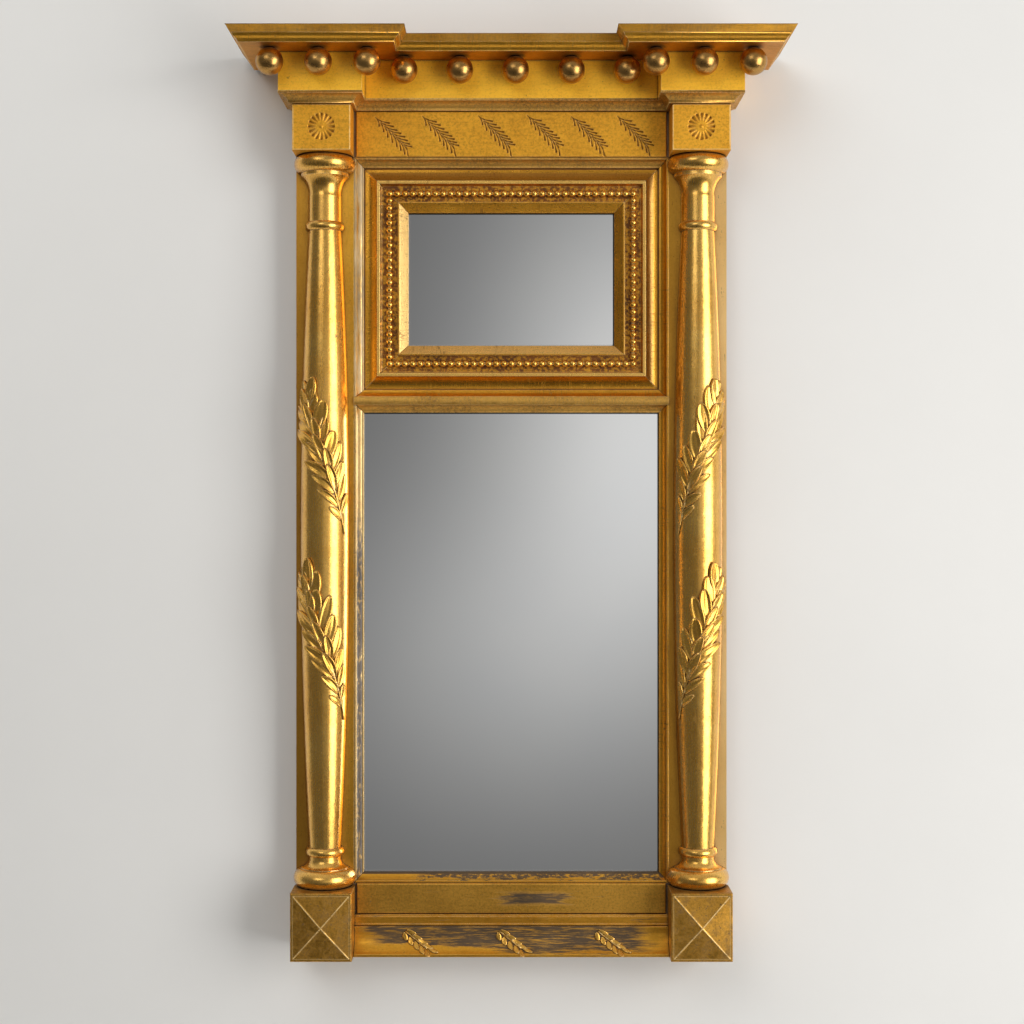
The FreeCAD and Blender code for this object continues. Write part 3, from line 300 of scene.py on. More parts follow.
def gilding(name, leaf, rough, brush, wear=0.35, crackle=None, coat=0.0, bare_back=None, wear_and_shade=None,
            grime_and_shade_reach=5 * MM, ground=RED_BOLE, metal_share=1.0, painted_light_and_shade=None, mottle=0.3):
    """Gold leaf over a ground. wear_and_shade is a function that places wear, and on the tablet also painted
    shade; painted_light_and_shade is a function that places painted highlights and painted shade.
    """
    shader = Shader(name)
    patches = leaf_patches(shader)
    marks = shader.streaked(brush, 5.0, 0.65)
    specks = shader.noise(620.0, 2.0, 0.6)
    spots = shader.noise(150.0, 3.0, 0.7)
    relief = shader.math("ADD", shader.times(specks, 0.25), shader.times(marks, 0.75))

    # the ground shows in pits, cracks and worn places, and recesses found by occlusion are darkened to it as
    # dirt and painted shade
    recess = shader.recess(grime_and_shade_reach, 0.3, 0.8)
    grime_and_shade = shader.times(recess, shader.ramp(spots, 0.2, 0.62, 0.45, 1.0))
    loss = shader.most(shader.times(grime_and_shade, 0.9), leaf_pits(shader, patches, spots, wear))
    if crackle is not None:
        lines = crackle_lines(shader, crackle, spots)
        opened = shader.times(lines, shader.ramp(patches, 0.42, 0.6, 0.1, 0.85))
        loss = shader.most(loss, opened)
        relief = shader.math("SUBTRACT", relief, shader.times(lines, 0.6))
    if wear_and_shade is not None:
        loss = shader.most(loss, wear_and_shade(shader))

    # rubbed arrises with a painted highlight on them, and the painted light and shade of single pieces, lie
    # on the leaf; losses, and seams darkened as dirt and painted shade, lie over them
    edge = shader.times(shader.arris(1.0 * MM), shader.math("SUBTRACT", 1.0, recess),
                        shader.ramp(spots, 0.36, 0.5, 0.2, 0.85))
    colour = shader.blend(edge, leaf_colour(shader, leaf, marks, mottle), RUBBED_EDGE_AND_HIGHLIGHT)
    worn_and_highlit = shader.times(edge, 0.6)
    if painted_light_and_shade is not None:
        colour, dulled_by_painted_light = painted_light_and_shade(shader, colour)
        worn_and_highlit = shader.most(worn_and_highlit, dulled_by_painted_light)
    under = shader.blend(shader.ramp(patches, 0.35, 0.7), *ground)
    # seams found by occlusion are darkened near black, as dirt and painted shade
    seam = shader.recess(1.6 * MM, 0.4, 0.72)
    colour = shader.blend(seam, shader.blend(loss, colour, under), SEAM_DIRT_AND_SHADE)
    loss = shader.most(loss, seam)

    metal = shader.ramp(shader.most(loss, worn_and_highlit), 0.0, 1.0, metal_share, 0.08)
    brushed = shader.math("ADD", shader.times(marks, 0.7), shader.times(specks, 0.3))
    gloss = shader.ramp(brushed, 0.3, 0.72, *rough)
    gloss = shader.math("ADD", gloss, shader.times(loss, 0.3))
    if bare_back is not None:
        colour, metal, gloss = left_ungilt(shader, bare_back, spots, colour, metal, gloss)
    if coat:
        shader.surface.inputs["Coat Weight"].default_value = coat
        shader.surface.inputs["Coat Roughness"].default_value = 0.24
    shader.surface.inputs["Specular IOR Level"].default_value = 0.3
    return shader.finish(colour, gloss, metal, shader.bump(relief, 0.16 * MM, 0.5))


# wear of single pieces: each function gives 1 where the leaf is lost, and on the tablet also where shade is
# painted, 0 where it is whole

def streaks(shader, fine=1.0, rough=0.68):
    """Streaks along X, as left by rubbing with a cloth."""
    return shader.streaked((11.0 * fine, 120.0, 150.0 * fine), 7.0, rough)


def shifted(shader, value, noise, reach):
    """A value moved to and fro by a noise."""
    return shader.math("ADD", value, shader.times(shader.math("SUBTRACT", noise, 0.5), reach))


def cove_wear(shader):
    """The coved foot is rubbed dark along its middle, with ragged gold left at its lower edge and ends."""
    gold_below, dark_above = -0.8655, -0.8620
    centre, dark_within, gold_beyond = -0.004, 0.136, 0.156
    smear = streaks(shader, 1.0, 0.75)
    flecks = streaks(shader, 4.0, 0.7)
    x = shader.spot("X")
    sink = shader.ramp(x, -0.10, 0.02, 0.0, 9 * MM)
    level = shifted(shader, shader.math("ADD", shader.spot("Z"), sink), smear, 40 * MM)
    dark = shader.ramp(level, gold_below, dark_above)
    off = shifted(shader, shader.apart(x, centre), smear, 0.10)
    middle = shader.ramp(off, dark_within, gold_beyond, 1.0, 0.0)
    return shader.times(dark, middle, shader.ramp(flecks, 0.50, 0.64, 1.0, 0.4))


def panel_wear(shader):
    """Dark smear right of the middle of the lower panel and fine scratches along it."""
    centre, dark_within, gold_beyond = 0.024, 0.030, 0.044
    smear_low, smear_high = -0.826, -0.8125
    smear = streaks(shader, 1.0, 0.75)
    flecks = streaks(shader, 4.0, 0.7)
    off = shader.apart(shader.spot("X"), centre)
    middle = shader.ramp(shifted(shader, off, smear, 0.12), dark_within, gold_beyond, 1.0, 0.0)
    level = shader.band(shifted(shader, shader.spot("Z"), smear, 10 * MM), smear_low, smear_high, 2 * MM)
    patch = shader.times(middle, level, shader.ramp(flecks, 0.52, 0.66, 1.0, 0.4))
    return shader.most(patch, shader.ramp(flecks, 0.62, 0.68, 0.0, 0.8))


def sill_wear(shader):
    """Flaked gilding along the glass, on the sill of the lower mirror."""
    flaked_above, rim_above, left_end = -0.8000, -0.7955, -0.105
    flakes = shader.streaked((45.0, 120.0, 190.0), 6.0, 0.75)
    flecks = shader.streaked((150.0, 120.0, 420.0), 5.0, 0.75)
    level = shifted(shader, shader.spot("Z"), flakes, 18 * MM)
    dark = shader.ramp(level, flaked_above, flaked_above + 0.8 * MM)
    left_over = shader.ramp(flecks, 0.50, 0.60, 1.0, 0.1)
    along = shader.ramp(shifted(shader, shader.spot("X"), flakes, 0.06), left_end, left_end + 15 * MM)
    rim = shader.ramp(shader.spot("Z"), rim_above, rim_above + 0.5 * MM)
    return shader.most(shader.times(dark, left_over, along), rim)


def block_wear(shader):
    """Mottled blocks with small dents."""
    blots = shader.ramp(shader.noise(70.0, 7.0, 0.8), 0.46, 0.68, 0.0, 0.7)
    dents = shader.ramp(shader.noise(420.0, 3.0, 0.6), 0.62, 0.68, 0.0, 0.85)
    return shader.most(blots, dents)


def column_wear(shader):
    """Short upright scratches and a few dark dents."""
    scratches = shader.streaked((420.0, 200.0, 42.0), 5.0, 0.7)
    patches = shader.ramp(leaf_patches(shader), 0.46, 0.6, 0.0, 0.85)
    scratches = shader.times(shader.ramp(scratches, 0.60, 0.67), patches)
    dents = shader.ramp(shader.noise(210.0, 4.0, 0.65), 0.69, 0.73, 0.0, 0.9)
    return shader.most(scratches, dents)


def speckled(shader):
    """Small dark specks on matte gilding."""
    return shader.ramp(shader.noise(260.0, 4.0, 0.7), 0.66, 0.72, 0.0, 0.75)


def band_wear(shader):
    """Thin dark streaks along the strip at the foot."""
    return shader.ramp(streaks(shader, 1.6), 0.56, 0.64, 0.0, 0.85)


def sandy_wear(shader):
    """Fine pale and dark speckle of leaf rubbed thin."""
    grain = shader.noise(330.0, 5.0, 0.75)
    patches = shader.ramp(leaf_patches(shader), 0.32, 0.55, 0.35, 1.0)
    return shader.times(shader.ramp(grain, 0.44, 0.60, 0.0, 0.8), patches)


def crown_wear(shader):
    """The upper band of the crown is patchy and brown, and its top arris is worn dark."""
    band_foot, top_arris = 0.0786, 0.0850
    height = shader.spot("Z")
    blots = shader.streaked((14.0, 60.0, 60.0), 5.0, 0.7)
    grain = shader.streaked((260.0, 60.0, 60.0), 4.0, 0.7)
    upper = shader.ramp(height, band_foot, band_foot + 1.0 * MM)
    brown = shader.times(shader.ramp(blots, 0.36, 0.6, 0.15, 0.8),
                         shader.ramp(grain, 0.35, 0.62, 0.45, 1.0))
    top = shader.ramp(shifted(shader, height, blots, 1.6 * MM), top_arris, top_arris + 0.4 * MM)
    return shader.most(shader.times(upper, brown), shader.times(top, 0.9))


def tablet_wear_and_shade(shader):
    """The floor of the bead channel is dark and stippled, its darkness partly painted shade between the
    beads, and a painted shadow lies along the outer edge.
    """
    floor_front, floor_back = -0.0166, -0.0154
    side_edge, head_edge, foot_edge = 0.1564, -0.0407, -0.2748
    depth = shader.band(shader.spot("Y"), floor_front, floor_back, 0.2 * MM)
    flat = shader.facing("Y", -0.985, -0.997)
    stipple = shader.ramp(shader.noise(340.0, 2.0, 0.6), 0.44, 0.60, 1.0, 0.15)
    floor = shader.times(depth, flat, stipple)
    across = shader.math("ABSOLUTE", shader.spot("X"))
    height = shader.spot("Z")
    # painted shadow along the outer edge, under the step of the sight moulding
    edge_shadow = shader.most(shader.ramp(height, head_edge, head_edge + 0.6 * MM),
                       shader.ramp(height, foot_edge, foot_edge - 0.6 * MM),
                       shader.ramp(across, side_edge, side_edge + 0.5 * MM))
    return shader.most(floor, edge_shadow)


def gesso_wear(shader):
    """Streaks rubbed through to the pale ground."""
    rubs = shader.streaked((300.0, 120.0, 34.0), 6.0, 0.72)
    return shader.ramp(rubs, 0.40, 0.56, 0.0, 0.9)


def flaked_wear(shader):
    """Leaf flaked off the flat of the moulding, down its lower part, to a grey, crackled ground."""
    flat_left, flat_right = -0.1652, -0.1598
    whole_above, bare_below = -0.40, -0.45
    flakes = shader.streaked((420.0, 120.0, 150.0), 6.0, 0.75)
    lower = shader.ramp(shifted(shader, shader.spot("Z"), flakes, 0.10), whole_above, bare_below, 0.25, 1.0)
    across = shifted(shader, shader.spot("X"), flakes, 1.6 * MM)
    flat = shader.band(across, flat_left, flat_right, 0.3 * MM)
    return shader.times(flat, shader.ramp(flakes, 0.52, 0.62, 1.0, 0.3), lower)


# painted light and shade of single pieces: each function gives the changed colour and how far the leaf is
# made dull, less metallic, under it

# painted light and shade on the bevels of the tablet: axis, slope of the face, place along the axis,
# strength, colour
TABLET_BEVEL_LIGHTING = {
    "left": ("X", (0.12, 0.35), (-0.05, -0.06), 0.85, (0.84, 0.58, 0.22)),
    "right": ("X", (0.15, 0.30), (0.05, 0.06), 0.85, (0.30, 0.175, 0.055)),
    "head": ("Z", (0.10, 0.25), (-0.07, -0.06), 0.85, (0.26, 0.105, 0.012)),
    "sill": ("Z", (0.15, 0.35), (-0.20, -0.21), 0.60, (0.80, 0.55, 0.20)),
}


def tablet_lights(shader, colour):
    """Painted highlights on the ridges, painted light on the bevels left of the glass and below it, painted
    shade on the coves at the head and the right.
    """
    ridge_foot, ridge_top = -0.0199, -0.0206
    masks = {}
    for bevel, (axis, slope, place, strength, tint) in TABLET_BEVEL_LIGHTING.items():
        masks[bevel] = shader.times(shader.facing(axis, *slope), shader.ramp(shader.spot(axis), *place))
        colour = shader.blend(shader.times(masks[bevel], strength), colour, tint)
    # painted highlight on the ridge tops
    ridge = shader.ramp(shader.spot("Y"), ridge_foot, ridge_top, 0.0, 0.45)
    dulled = shader.most(shader.times(ridge, 0.6), shader.times(masks["head"], 0.6),
                         shader.times(masks["sill"], 0.4))
    return shader.blend(ridge, colour, (1.0, 0.70, 0.22)), dulled


def stile_lights(shader, colour):
    """Painted highlight along the right outer arris of the stiles, painted shade beside the right glass and
    along the left outer arris.
    """
    right_arris, left_arris = (0.2105, 0.2175), (-0.2110, -0.2180)
    x = shader.spot("X")
    drift = shader.noise(9.0, 3.0, 0.6, shader.stretched((1.0, 1.0, 0.4)))
    painted_light = shader.times(shader.ramp(x, *right_arris), shader.ramp(drift, 0.3, 0.6, 0.45, 0.9))
    colour = shader.blend(painted_light, colour, (0.98, 0.68, 0.30))
    # painted shade beside the right glass and along the left outer arris
    dull = shader.most(shader.ramp(x, *left_arris), shader.band(x, 0.15, 0.1800, 4 * MM))
    colour = shader.blend(shader.times(dull, 0.6), colour, (0.36, 0.165, 0.025))
    return colour, shader.times(painted_light, 0.5)


def front_of(node):
    """Middle and half size of a node's front, each as x and z."""
    low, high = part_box(node)
    middle = ((low.x + high.x) / 2, (low.z + high.z) / 2)
    half = ((high.x - low.x) / 2, (high.z - low.z) / 2)
    return middle, half


def block_shares(shader, node):
    """How far a point is from the middle of a block, or of its mirror image, as shares of its half size."""
    middle, half = front_of(node)
    across = shader.apart(shader.math("ABSOLUTE", shader.spot("X")), abs(middle[0]))
    up = shader.apart(shader.spot("Z"), middle[1])
    return shader.math("DIVIDE", across, half[0]), shader.math("DIVIDE", up, half[1])


def highlight_lines(shader, colour, line, gap_low, gap_high):
    """Painted highlight of pale gold on a line, broken here and there."""
    front = shader.facing("Y", -0.75, -0.9)
    gaps = shader.ramp(shader.noise(150.0, 3.0, 0.7), gap_low, gap_high, 0.25, 0.9)
    shown = shader.times(line, front, gaps)
    return shader.blend(shown, colour, HIGHLIGHT_LINE), shader.times(shown, 0.65)


def shaded_cuts(shader, colour, node, near_edge, shallow, deep):
    """Painted shade in the cuts of a carved face, darker the deeper the cut."""
    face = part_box(node)[0].y
    inside = shader.ramp(near_edge, 0.86, 0.90, 1.0, 0.0)
    depth = shader.ramp(shader.spot("Y"), face + shallow, face + deep, 0.0, 0.8)
    return shader.blend(shader.times(depth, inside), colour, CUT_SHADE)


def die_lights(shader, colour):
    """Painted highlights along the arrises round the face of a die, and painted shade in the cuts of its
    rosette.
    """
    near_edge = shader.most(*block_shares(shader, "die_right"))
    colour = shaded_cuts(shader, colour, "die_right", near_edge, 0.35 * MM, 1.5 * MM)
    return highlight_lines(shader, colour, shader.ramp(near_edge, 0.935, 0.965), 0.36, 0.5)


def frieze_lights(shader, colour):
    """Shaded cuts of the incised sprigs."""
    near_edge = shader.times(shader.most(*block_shares(shader, "frieze_panel")), 0.93)
    return shaded_cuts(shader, colour, "frieze_panel", near_edge, 0.15 * MM, 0.9 * MM), 0.0


def plinth_lights(shader, colour):
    """Painted highlights along the hips and the rim of the low pyramid."""
    across, up = block_shares(shader, "plinth_right")
    near_edge = shader.most(across, up)
    off_hip = shader.apart(across, up)
    hip = shader.ramp(off_hip, 0.016, 0.034, 1.0, 0.0)
    inside = shader.ramp(near_edge, 0.90, 0.94, 1.0, 0.0)
    rim = shader.band(near_edge, 0.905, 0.93, 0.008)
    line = shader.most(shader.times(hip, inside), shader.times(rim, 0.6))
    return highlight_lines(shader, colour, line, 0.30, 0.42)


# gilded finishes

gilt_frieze = gilding(
    "gilt_frieze", FRIEZE_LEAF, (0.46, 0.62), SIDEWAYS, metal_share=0.7, wear_and_shade=speckled,
    grime_and_shade_reach=2.5 * MM, painted_light_and_shade=frieze_lights, mottle=0.6)
gilt_die = gilding(
    "gilt_die", DIE_LEAF, (0.46, 0.62), SIDEWAYS, metal_share=0.7, wear_and_shade=speckled, grime_and_shade_reach=2 * MM,
    painted_light_and_shade=die_lights, mottle=0.6)
gilt_matte = gilding(
    "gilt_matte", MATTE_LEAF, (0.50, 0.64), SIDEWAYS, metal_share=0.1, wear_and_shade=speckled, mottle=0.4)
gilt_sandy = gilding(
    "gilt_sandy", RUBBED_THIN, (0.34, 0.52), SIDEWAYS, wear=0.8, crackle=ACROSS_RAIL, wear_and_shade=sandy_wear,
    ground=SANDY)
gilt_rail = gilding("gilt_rail", RUSSET, (0.26, 0.44), SIDEWAYS, wear=0.5, crackle=ACROSS_RAIL)
gilt_crown = gilding(
    "gilt_crown", GOLD, (0.26, 0.42), SIDEWAYS, wear=0.5, crackle=ACROSS_RAIL, wear_and_shade=crown_wear,
    bare_back=GRAIN_SIDEWAYS, ground=SANDY)
gilt_stile = gilding(
    "gilt_stile", GOLD, (0.24, 0.40), UPRIGHT, bare_back=GRAIN_UPRIGHT, grime_and_shade_reach=14 * MM,
    painted_light_and_shade=stile_lights)
gilt_post = gilding("gilt_post", RUSSET, (0.26, 0.42), UPRIGHT, wear=0.5, crackle=ACROSS_POST)
# left sight strips: rubbed pale leaf, partly a painted lit side
gilt_pale_lit = gilding(
    "gilt_pale_lit", PALE_AND_LIT, (0.24, 0.40), UPRIGHT, wear=0.5, crackle=ACROSS_POST, coat=0.5, wear_and_shade=gesso_wear,
    ground=CREAM)
gilt_flaked_lit = gilding(
    "gilt_flaked_lit", PALE_FLAKED_AND_LIT, (0.24, 0.40), UPRIGHT, wear=0.5, crackle=ACROSS_POST, coat=0.5,
    wear_and_shade=flaked_wear, ground=ASH)
gilt_tablet_rail = gilding(
    "gilt_tablet_rail", RUSSET, (0.22, 0.36), SIDEWAYS, wear=0.4, crackle=ACROSS_RAIL, wear_and_shade=tablet_wear_and_shade,
    painted_light_and_shade=tablet_lights, ground=CHANNEL)
gilt_tablet_post = gilding(
    "gilt_tablet_post", RUSSET, (0.22, 0.36), UPRIGHT, wear=0.4, crackle=ACROSS_POST, wear_and_shade=tablet_wear_and_shade,
    painted_light_and_shade=tablet_lights, ground=CHANNEL)
gilt_board = gilding("gilt_board", BOARD_LEAF, (0.34, 0.52), SIDEWAYS, bare_back=GRAIN_SIDEWAYS)
gilt_column = gilding("gilt_column", BRIGHT, (0.22, 0.34), UPRIGHT, wear=0.45, coat=0.8, wear_and_shade=column_wear)
gilt_carved = gilding(
    "gilt_carved", BRIGHT, (0.20, 0.36), EVEN_MARKS, wear=0.2, coat=0.25, grime_and_shade_reach=2.5 * MM)
gilt_ball = gilding("gilt_ball", BALL_LEAF, (0.23, 0.38), TURNED_MARKS, wear=0.6)
gilt_block = gilding(
    "gilt_block", BLOCK_LEAF, (0.32, 0.50), BLOCK_MARKS, wear=0.95, wear_and_shade=block_wear, ground=GREY,
    painted_light_and_shade=plinth_lights, mottle=0.6)
gilt_foot = gilding("gilt_foot", GOLD, (0.28, 0.46), SIDEWAYS, wear=0.7, wear_and_shade=cove_wear, ground=GREY)
gilt_band = gilding("gilt_band", RUSSET, (0.26, 0.44), SIDEWAYS, wear=0.7, wear_and_shade=band_wear, ground=GREY)
gilt_panel = gilding(
    "gilt_panel", PANEL_LEAF, (0.32, 0.50), SIDEWAYS, wear=0.8, wear_and_shade=panel_wear, ground=GREY, mottle=0.6)
gilt_sill = gilding("gilt_sill", GOLD, (0.28, 0.46), SIDEWAYS, wear=0.7, wear_and_shade=sill_wear, ground=GREY)


# other finishes

def silvered_glass(name, right_piece, head_piece):
    """Old mirror plate, darkened along its frame as desilvering and painted shade, with a painted shadow line
    along the pieces that frame it at the right and the head.
    """
    right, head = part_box(right_piece)[0].x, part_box(head_piece)[0].z
    shader = Shader(name)
    bloom = shader.noise(7.0, 3.0, 0.5)
    foxing = shader.noise(240.0, 4.0, 0.75)
    stain_and_shade = shader.times(shader.recess(3 * MM, 0.4, 0.8), 0.8)
    stain_and_shade = shader.most(stain_and_shade, shader.ramp(foxing, 0.76, 0.84, 0.0, 0.25))
    # painted shadow line along the frame at the right and the head
    line = shader.most(shader.ramp(shader.spot("X"), right - 1.7 * MM, right - 1.0 * MM),
                       shader.ramp(shader.spot("Z"), head - 1.6 * MM, head - 0.9 * MM))
    colour = shader.blend(shader.ramp(bloom, 0.35, 0.7), (0.93, 0.935, 0.93), (0.90, 0.91, 0.915))
    colour = shader.blend(stain_and_shade, colour, (0.22, 0.19, 0.15))
    colour = shader.blend(line, colour, (0.02, 0.016, 0.012))
    rough = shader.math("ADD", shader.ramp(bloom, 0.3, 0.7, 0.012, 0.03), shader.times(stain_and_shade, 0.3))
    return shader.finish(colour, rough, shader.ramp(stain_and_shade, 0.0, 1.0, 1.0, 0.3))


def old_pine(name, grain):
    """Bare pine with stains, and with its corners darkened by occlusion as dirt and painted shade."""
    shader = Shader(name)
    colour, lines = bare_pine(shader, grain)
    stains = shader.noise(11.0, 4.0, 0.6)
    colour = shader.blend(shader.ramp(stains, 0.52, 0.74, 0.0, 0.6), colour, (0.11, 0.066, 0.034))
    grime_and_shade = shader.recess(8 * MM)
    colour = shader.blend(shader.times(grime_and_shade, 0.7), colour, (0.05, 0.033, 0.02))
    normal = shader.bump(lines, 0.3 * MM, 0.6)
    return shader.finish(colour, shader.ramp(lines, 0.3, 0.7, 0.62, 0.82), 0.0, normal)


def aged_metal(name, light, dark, rough, metal):
    """Spotted old metal, darker in its corners by occlusion, as dirt and painted shade."""
    shader = Shader(name)
    spots = shader.noise(420.0, 4.0, 0.65)
    film = shader.noise(60.0, 3.0, 0.6)
    grime_and_shade = shader.recess(2.5 * MM)
    colour = shader.blend(shader.ramp(spots, 0.42, 0.66), light, dark)
    colour = shader.blend(shader.times(grime_and_shade, 0.75), colour, tuple(0.35 * part for part in dark))
    normal = shader.bump(spots, 0.05 * MM, 0.5)
    return shader.finish(colour, shader.ramp(film, 0.3, 0.7, *rough), metal, normal)


tablet_glass = silvered_glass("tablet_glass", "tablet_right", "tablet_top")
main_glass = silvered_glass("main_glass", "lower_sight_right", "lower_sight_top")
pine_up = old_pine("pine_upright", GRAIN_UPRIGHT)
pine_across = old_pine("pine_across", GRAIN_SIDEWAYS)
brass = aged_metal("dull_brass", (0.62, 0.42, 0.14), (0.34, 0.20, 0.06), (0.28, 0.45), 1.0)
iron = aged_metal("dark_iron", (0.10, 0.085, 0.075), (0.12, 0.055, 0.025), (0.45, 0.7), 0.85)

# the CAD nodes of each finish, by the start of their names
FINISHED = (
    (gilt_stile, "stile"),
    (gilt_crown, "crown"),
    (gilt_board, "cornice_board"),
    (gilt_matte, "ball_frieze"),
    (gilt_ball, "frieze_balls"),
    (gilt_frieze, "frieze_panel"),
    (gilt_die, "die"),
    (gilt_block, "plinth"),
    (gilt_column, "base_left", "base_right", "capital", "shaft"),
    (gilt_carved, "beads", "leaf_spray"),
    (gilt_sandy, "bed_moulding", "divider_bar", "upper_sight_top", "lower_sight_top"),
    (gilt_rail, "divider_rail", "upper_sight_bottom"),
    (gilt_post, "upper_sight_right", "lower_sight_right"),
    (gilt_pale_lit, "upper_sight_left"),
    (gilt_flaked_lit, "lower_sight_left"),
    (gilt_sill, "lower_sight_bottom"),
    (gilt_tablet_rail, "tablet_top", "tablet_bottom"),
    (gilt_tablet_post, "tablet_left", "tablet_right"),
    (gilt_foot, "base_cove"),
    (gilt_band, "base_band"),
    (gilt_panel, "base_panel"),
    (tablet_glass, "tablet_mirror"),
    (main_glass, "main_mirror"),
    (pine_across, "bottom_rail", "frieze_rail"),
    (pine_up, "tablet_backboard", "main_backboard", "glazing_blocks"),
    (iron, "backboard_nails", "column_screws"),
    (brass, "hang"),
)
FINISH = {key: finish for finish, *keys in FINISHED for key in keys}

SHARP_PIECES = ("stile", "crown", "cornice_board", "ball_frieze", "base_band", "base_cove", "bed_moulding",
                "upper_sight", "lower_sight", "tablet_top", "tablet_right", "tablet_bottom", "tablet_left")
ARRIS = 0.45 * MM
WELD_GAP = 0.01 * MM


def finish_of(name):
    """The finish under the longest key that starts the node's name."""
    keys = [key for key in FINISH if name.startswith(key)]
    return FINISH[max(keys, key=len)]


def ease_edges(piece):
    """Slightly worn arrises on a crisp CAD piece."""
    weld = piece.modifiers.new("weld", "WELD")
    weld.merge_threshold = WELD_GAP
    bevel = piece.modifiers.new("arris", "BEVEL")
    bevel.width = ARRIS
    bevel.segments = 2
    bevel.limit_method = "ANGLE"
    bevel.angle_limit = math.radians(28)
    bevel.use_clamp_overlap = True
    normals = piece.modifiers.new("normals", "WEIGHTED_NORMAL")
    normals.keep_sharp = False


for name, piece in nodes.items():
    for place in piece.material_slots:
        place.material = finish_of(name)
    if name.startswith(SHARP_PIECES):
        ease_edges(piece)


# carved pieces

def new_mesh(name, points, faces, material):
    """Mesh in the scene, with one material."""
    mesh = bpy.data.meshes.new(name)
    mesh.from_pydata(points, [], faces)
    mesh.validate()
    mesh.update()
    mesh.materials.append(material)
    item = bpy.data.objects.new(name, mesh)
    bpy.context.scene.collection.objects.link(item)
    return item


def new_piece(name, points, faces, material):
    """Smooth mesh that rides on the frame."""
    piece = new_mesh(name, points, faces, material)
    for polygon in piece.data.polygons:
        polygon.use_smooth = True
    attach(piece, FRAME_BODY)
    return piece


def skin(sections, points, faces):
    """Closed skin through rings of points, added to the lists of a mesh."""
    start, count = len(points), len(sections[0])
    for ring in sections:
        points.extend(ring)
    for row in range(len(sections) - 1):
        for i in range(count):
            here, after = start + row * count, start + (row + 1) * count
            faces.append((here + i, here + (i + 1) % count, after + (i + 1) % count, after + i))
    last = start + (len(sections) - 1) * count
    faces.append(tuple(reversed(range(start, start + count))))
    faces.append(tuple(range(last, last + count)))


def carved_board(name, node, cut_at, step, arris, material):
    """Board in the place of a CAD node, whose front is a fine grid cut back by cut_at(x, z)."""
    low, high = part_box(node)
    across = round((high.x - low.x) / step)
    up = round((high.z - low.z) / step)
    levels, columns = np.linspace(low.z, high.z, up + 1), np.linspace(low.x, high.x, across + 1)
    z, x = np.meshgrid(levels, columns, indexing="ij")
    edge = np.minimum(np.minimum(x - low.x, high.x - x), np.minimum(z - low.z, high.z - z))
    fall = arris - np.sqrt(np.maximum(0.0, arris ** 2 - np.maximum(0.0, arris - edge) ** 2))
    y = low.y + fall + cut_at(x, z)
    points = np.stack((x, y, z), axis=-1).reshape(-1, 3).tolist()
    row = across + 1
    faces = [(j * row + i, j * row + i + 1, (j + 1) * row + i + 1, (j + 1) * row + i)
             for j in range(up) for i in range(across)]
    rim = list(range(row))
    rim += [j * row + across for j in range(1, up + 1)]
    rim += [up * row + i for i in range(across - 1, -1, -1)]
    rim += [j * row for j in range(up - 1, 0, -1)]
    behind = len(points)
    points += [(points[i][0], high.y, points[i][2]) for i in rim]
    count = len(rim)
    for k in range(count):
        following = (k + 1) % count
        faces.append((rim[k], behind + k, behind + following, rim[following]))
    faces.append(tuple(behind + k for k in range(count)))
    piece = new_piece(name, points, faces, material)
    for polygon in piece.data.polygons[across * up:]:
        polygon.use_smooth = False
    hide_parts(node)


def groove(x, z, start, end, half, depth):
    """Depth of a V-cut from start to end, fuller towards its end, over a grid."""
    run_x, run_z = end[0] - start[0], end[1] - start[1]
    along = (x - start[0]) * run_x + (z - start[1]) * run_z
    share = np.clip(along / (run_x ** 2 + run_z ** 2), 0.0, 1.0)
    gap = np.hypot(x - start[0] - share * run_x, z - start[1] - share * run_z)
    wide = half * (0.5 + 0.7 * share)
    return depth * np.maximum(0.0, 1.0 - gap / wide) * (0.6 + 0.4 * share)


def stroke_of(root, bends, scale):
    """Two joined cuts: each bend is a length in millimetres and an angle below the level in degrees."""
    cuts = []
    for length, angle in bends:
        turn = math.radians(-angle + chance.uniform(-3, 3))
        reach = scale * length * MM
        tip = (root[0] + reach * math.cos(turn), root[1] + reach * math.sin(turn))
        cuts.append((root, tip))
        root = tip
    return cuts


def sprig_strokes(x, z):
    """Faint and full cuts of one incised sprig, which slants down to the right from x, z."""
    pairs, run, drop = 8, 28.5, 27.0
    upper_bends, lower_bends = ((6.0, 28), (8.5, 11)), ((7.0, 57), (8.6, 79))
    faint, full = [((x, z), (x + 3.0 * MM, z - 3.0 * MM))], []
    for i in range(pairs):
        share = i / (pairs - 1)
        root = (x + (1.4 + run * share) * MM, z - (1.6 + drop * share) * MM)
        upper = stroke_of(root, upper_bends, 1.0 - 0.35 * max(0.0, share - 0.6) / 0.4)
        lower = stroke_of(root, lower_bends, min(1.0, 0.55 + 0.9 * share))
        faint += [upper[0], lower[0]]
        full += [upper[1], lower[1]]
    return faint, full


# where the incised sprigs start: millimetres from the middle, millimetres below the panel's top
SPRIG_STARTS = ((-145.2, 6.2), (-95.2, 5.0), (-35.6, 4.6), (16.6, 4.2), (63.5, 5.4), (112.5, 4.8))
FAINT_CUT = (0.85 * MM, 1.3 * MM)
FULL_CUT = (0.95 * MM, 1.5 * MM)


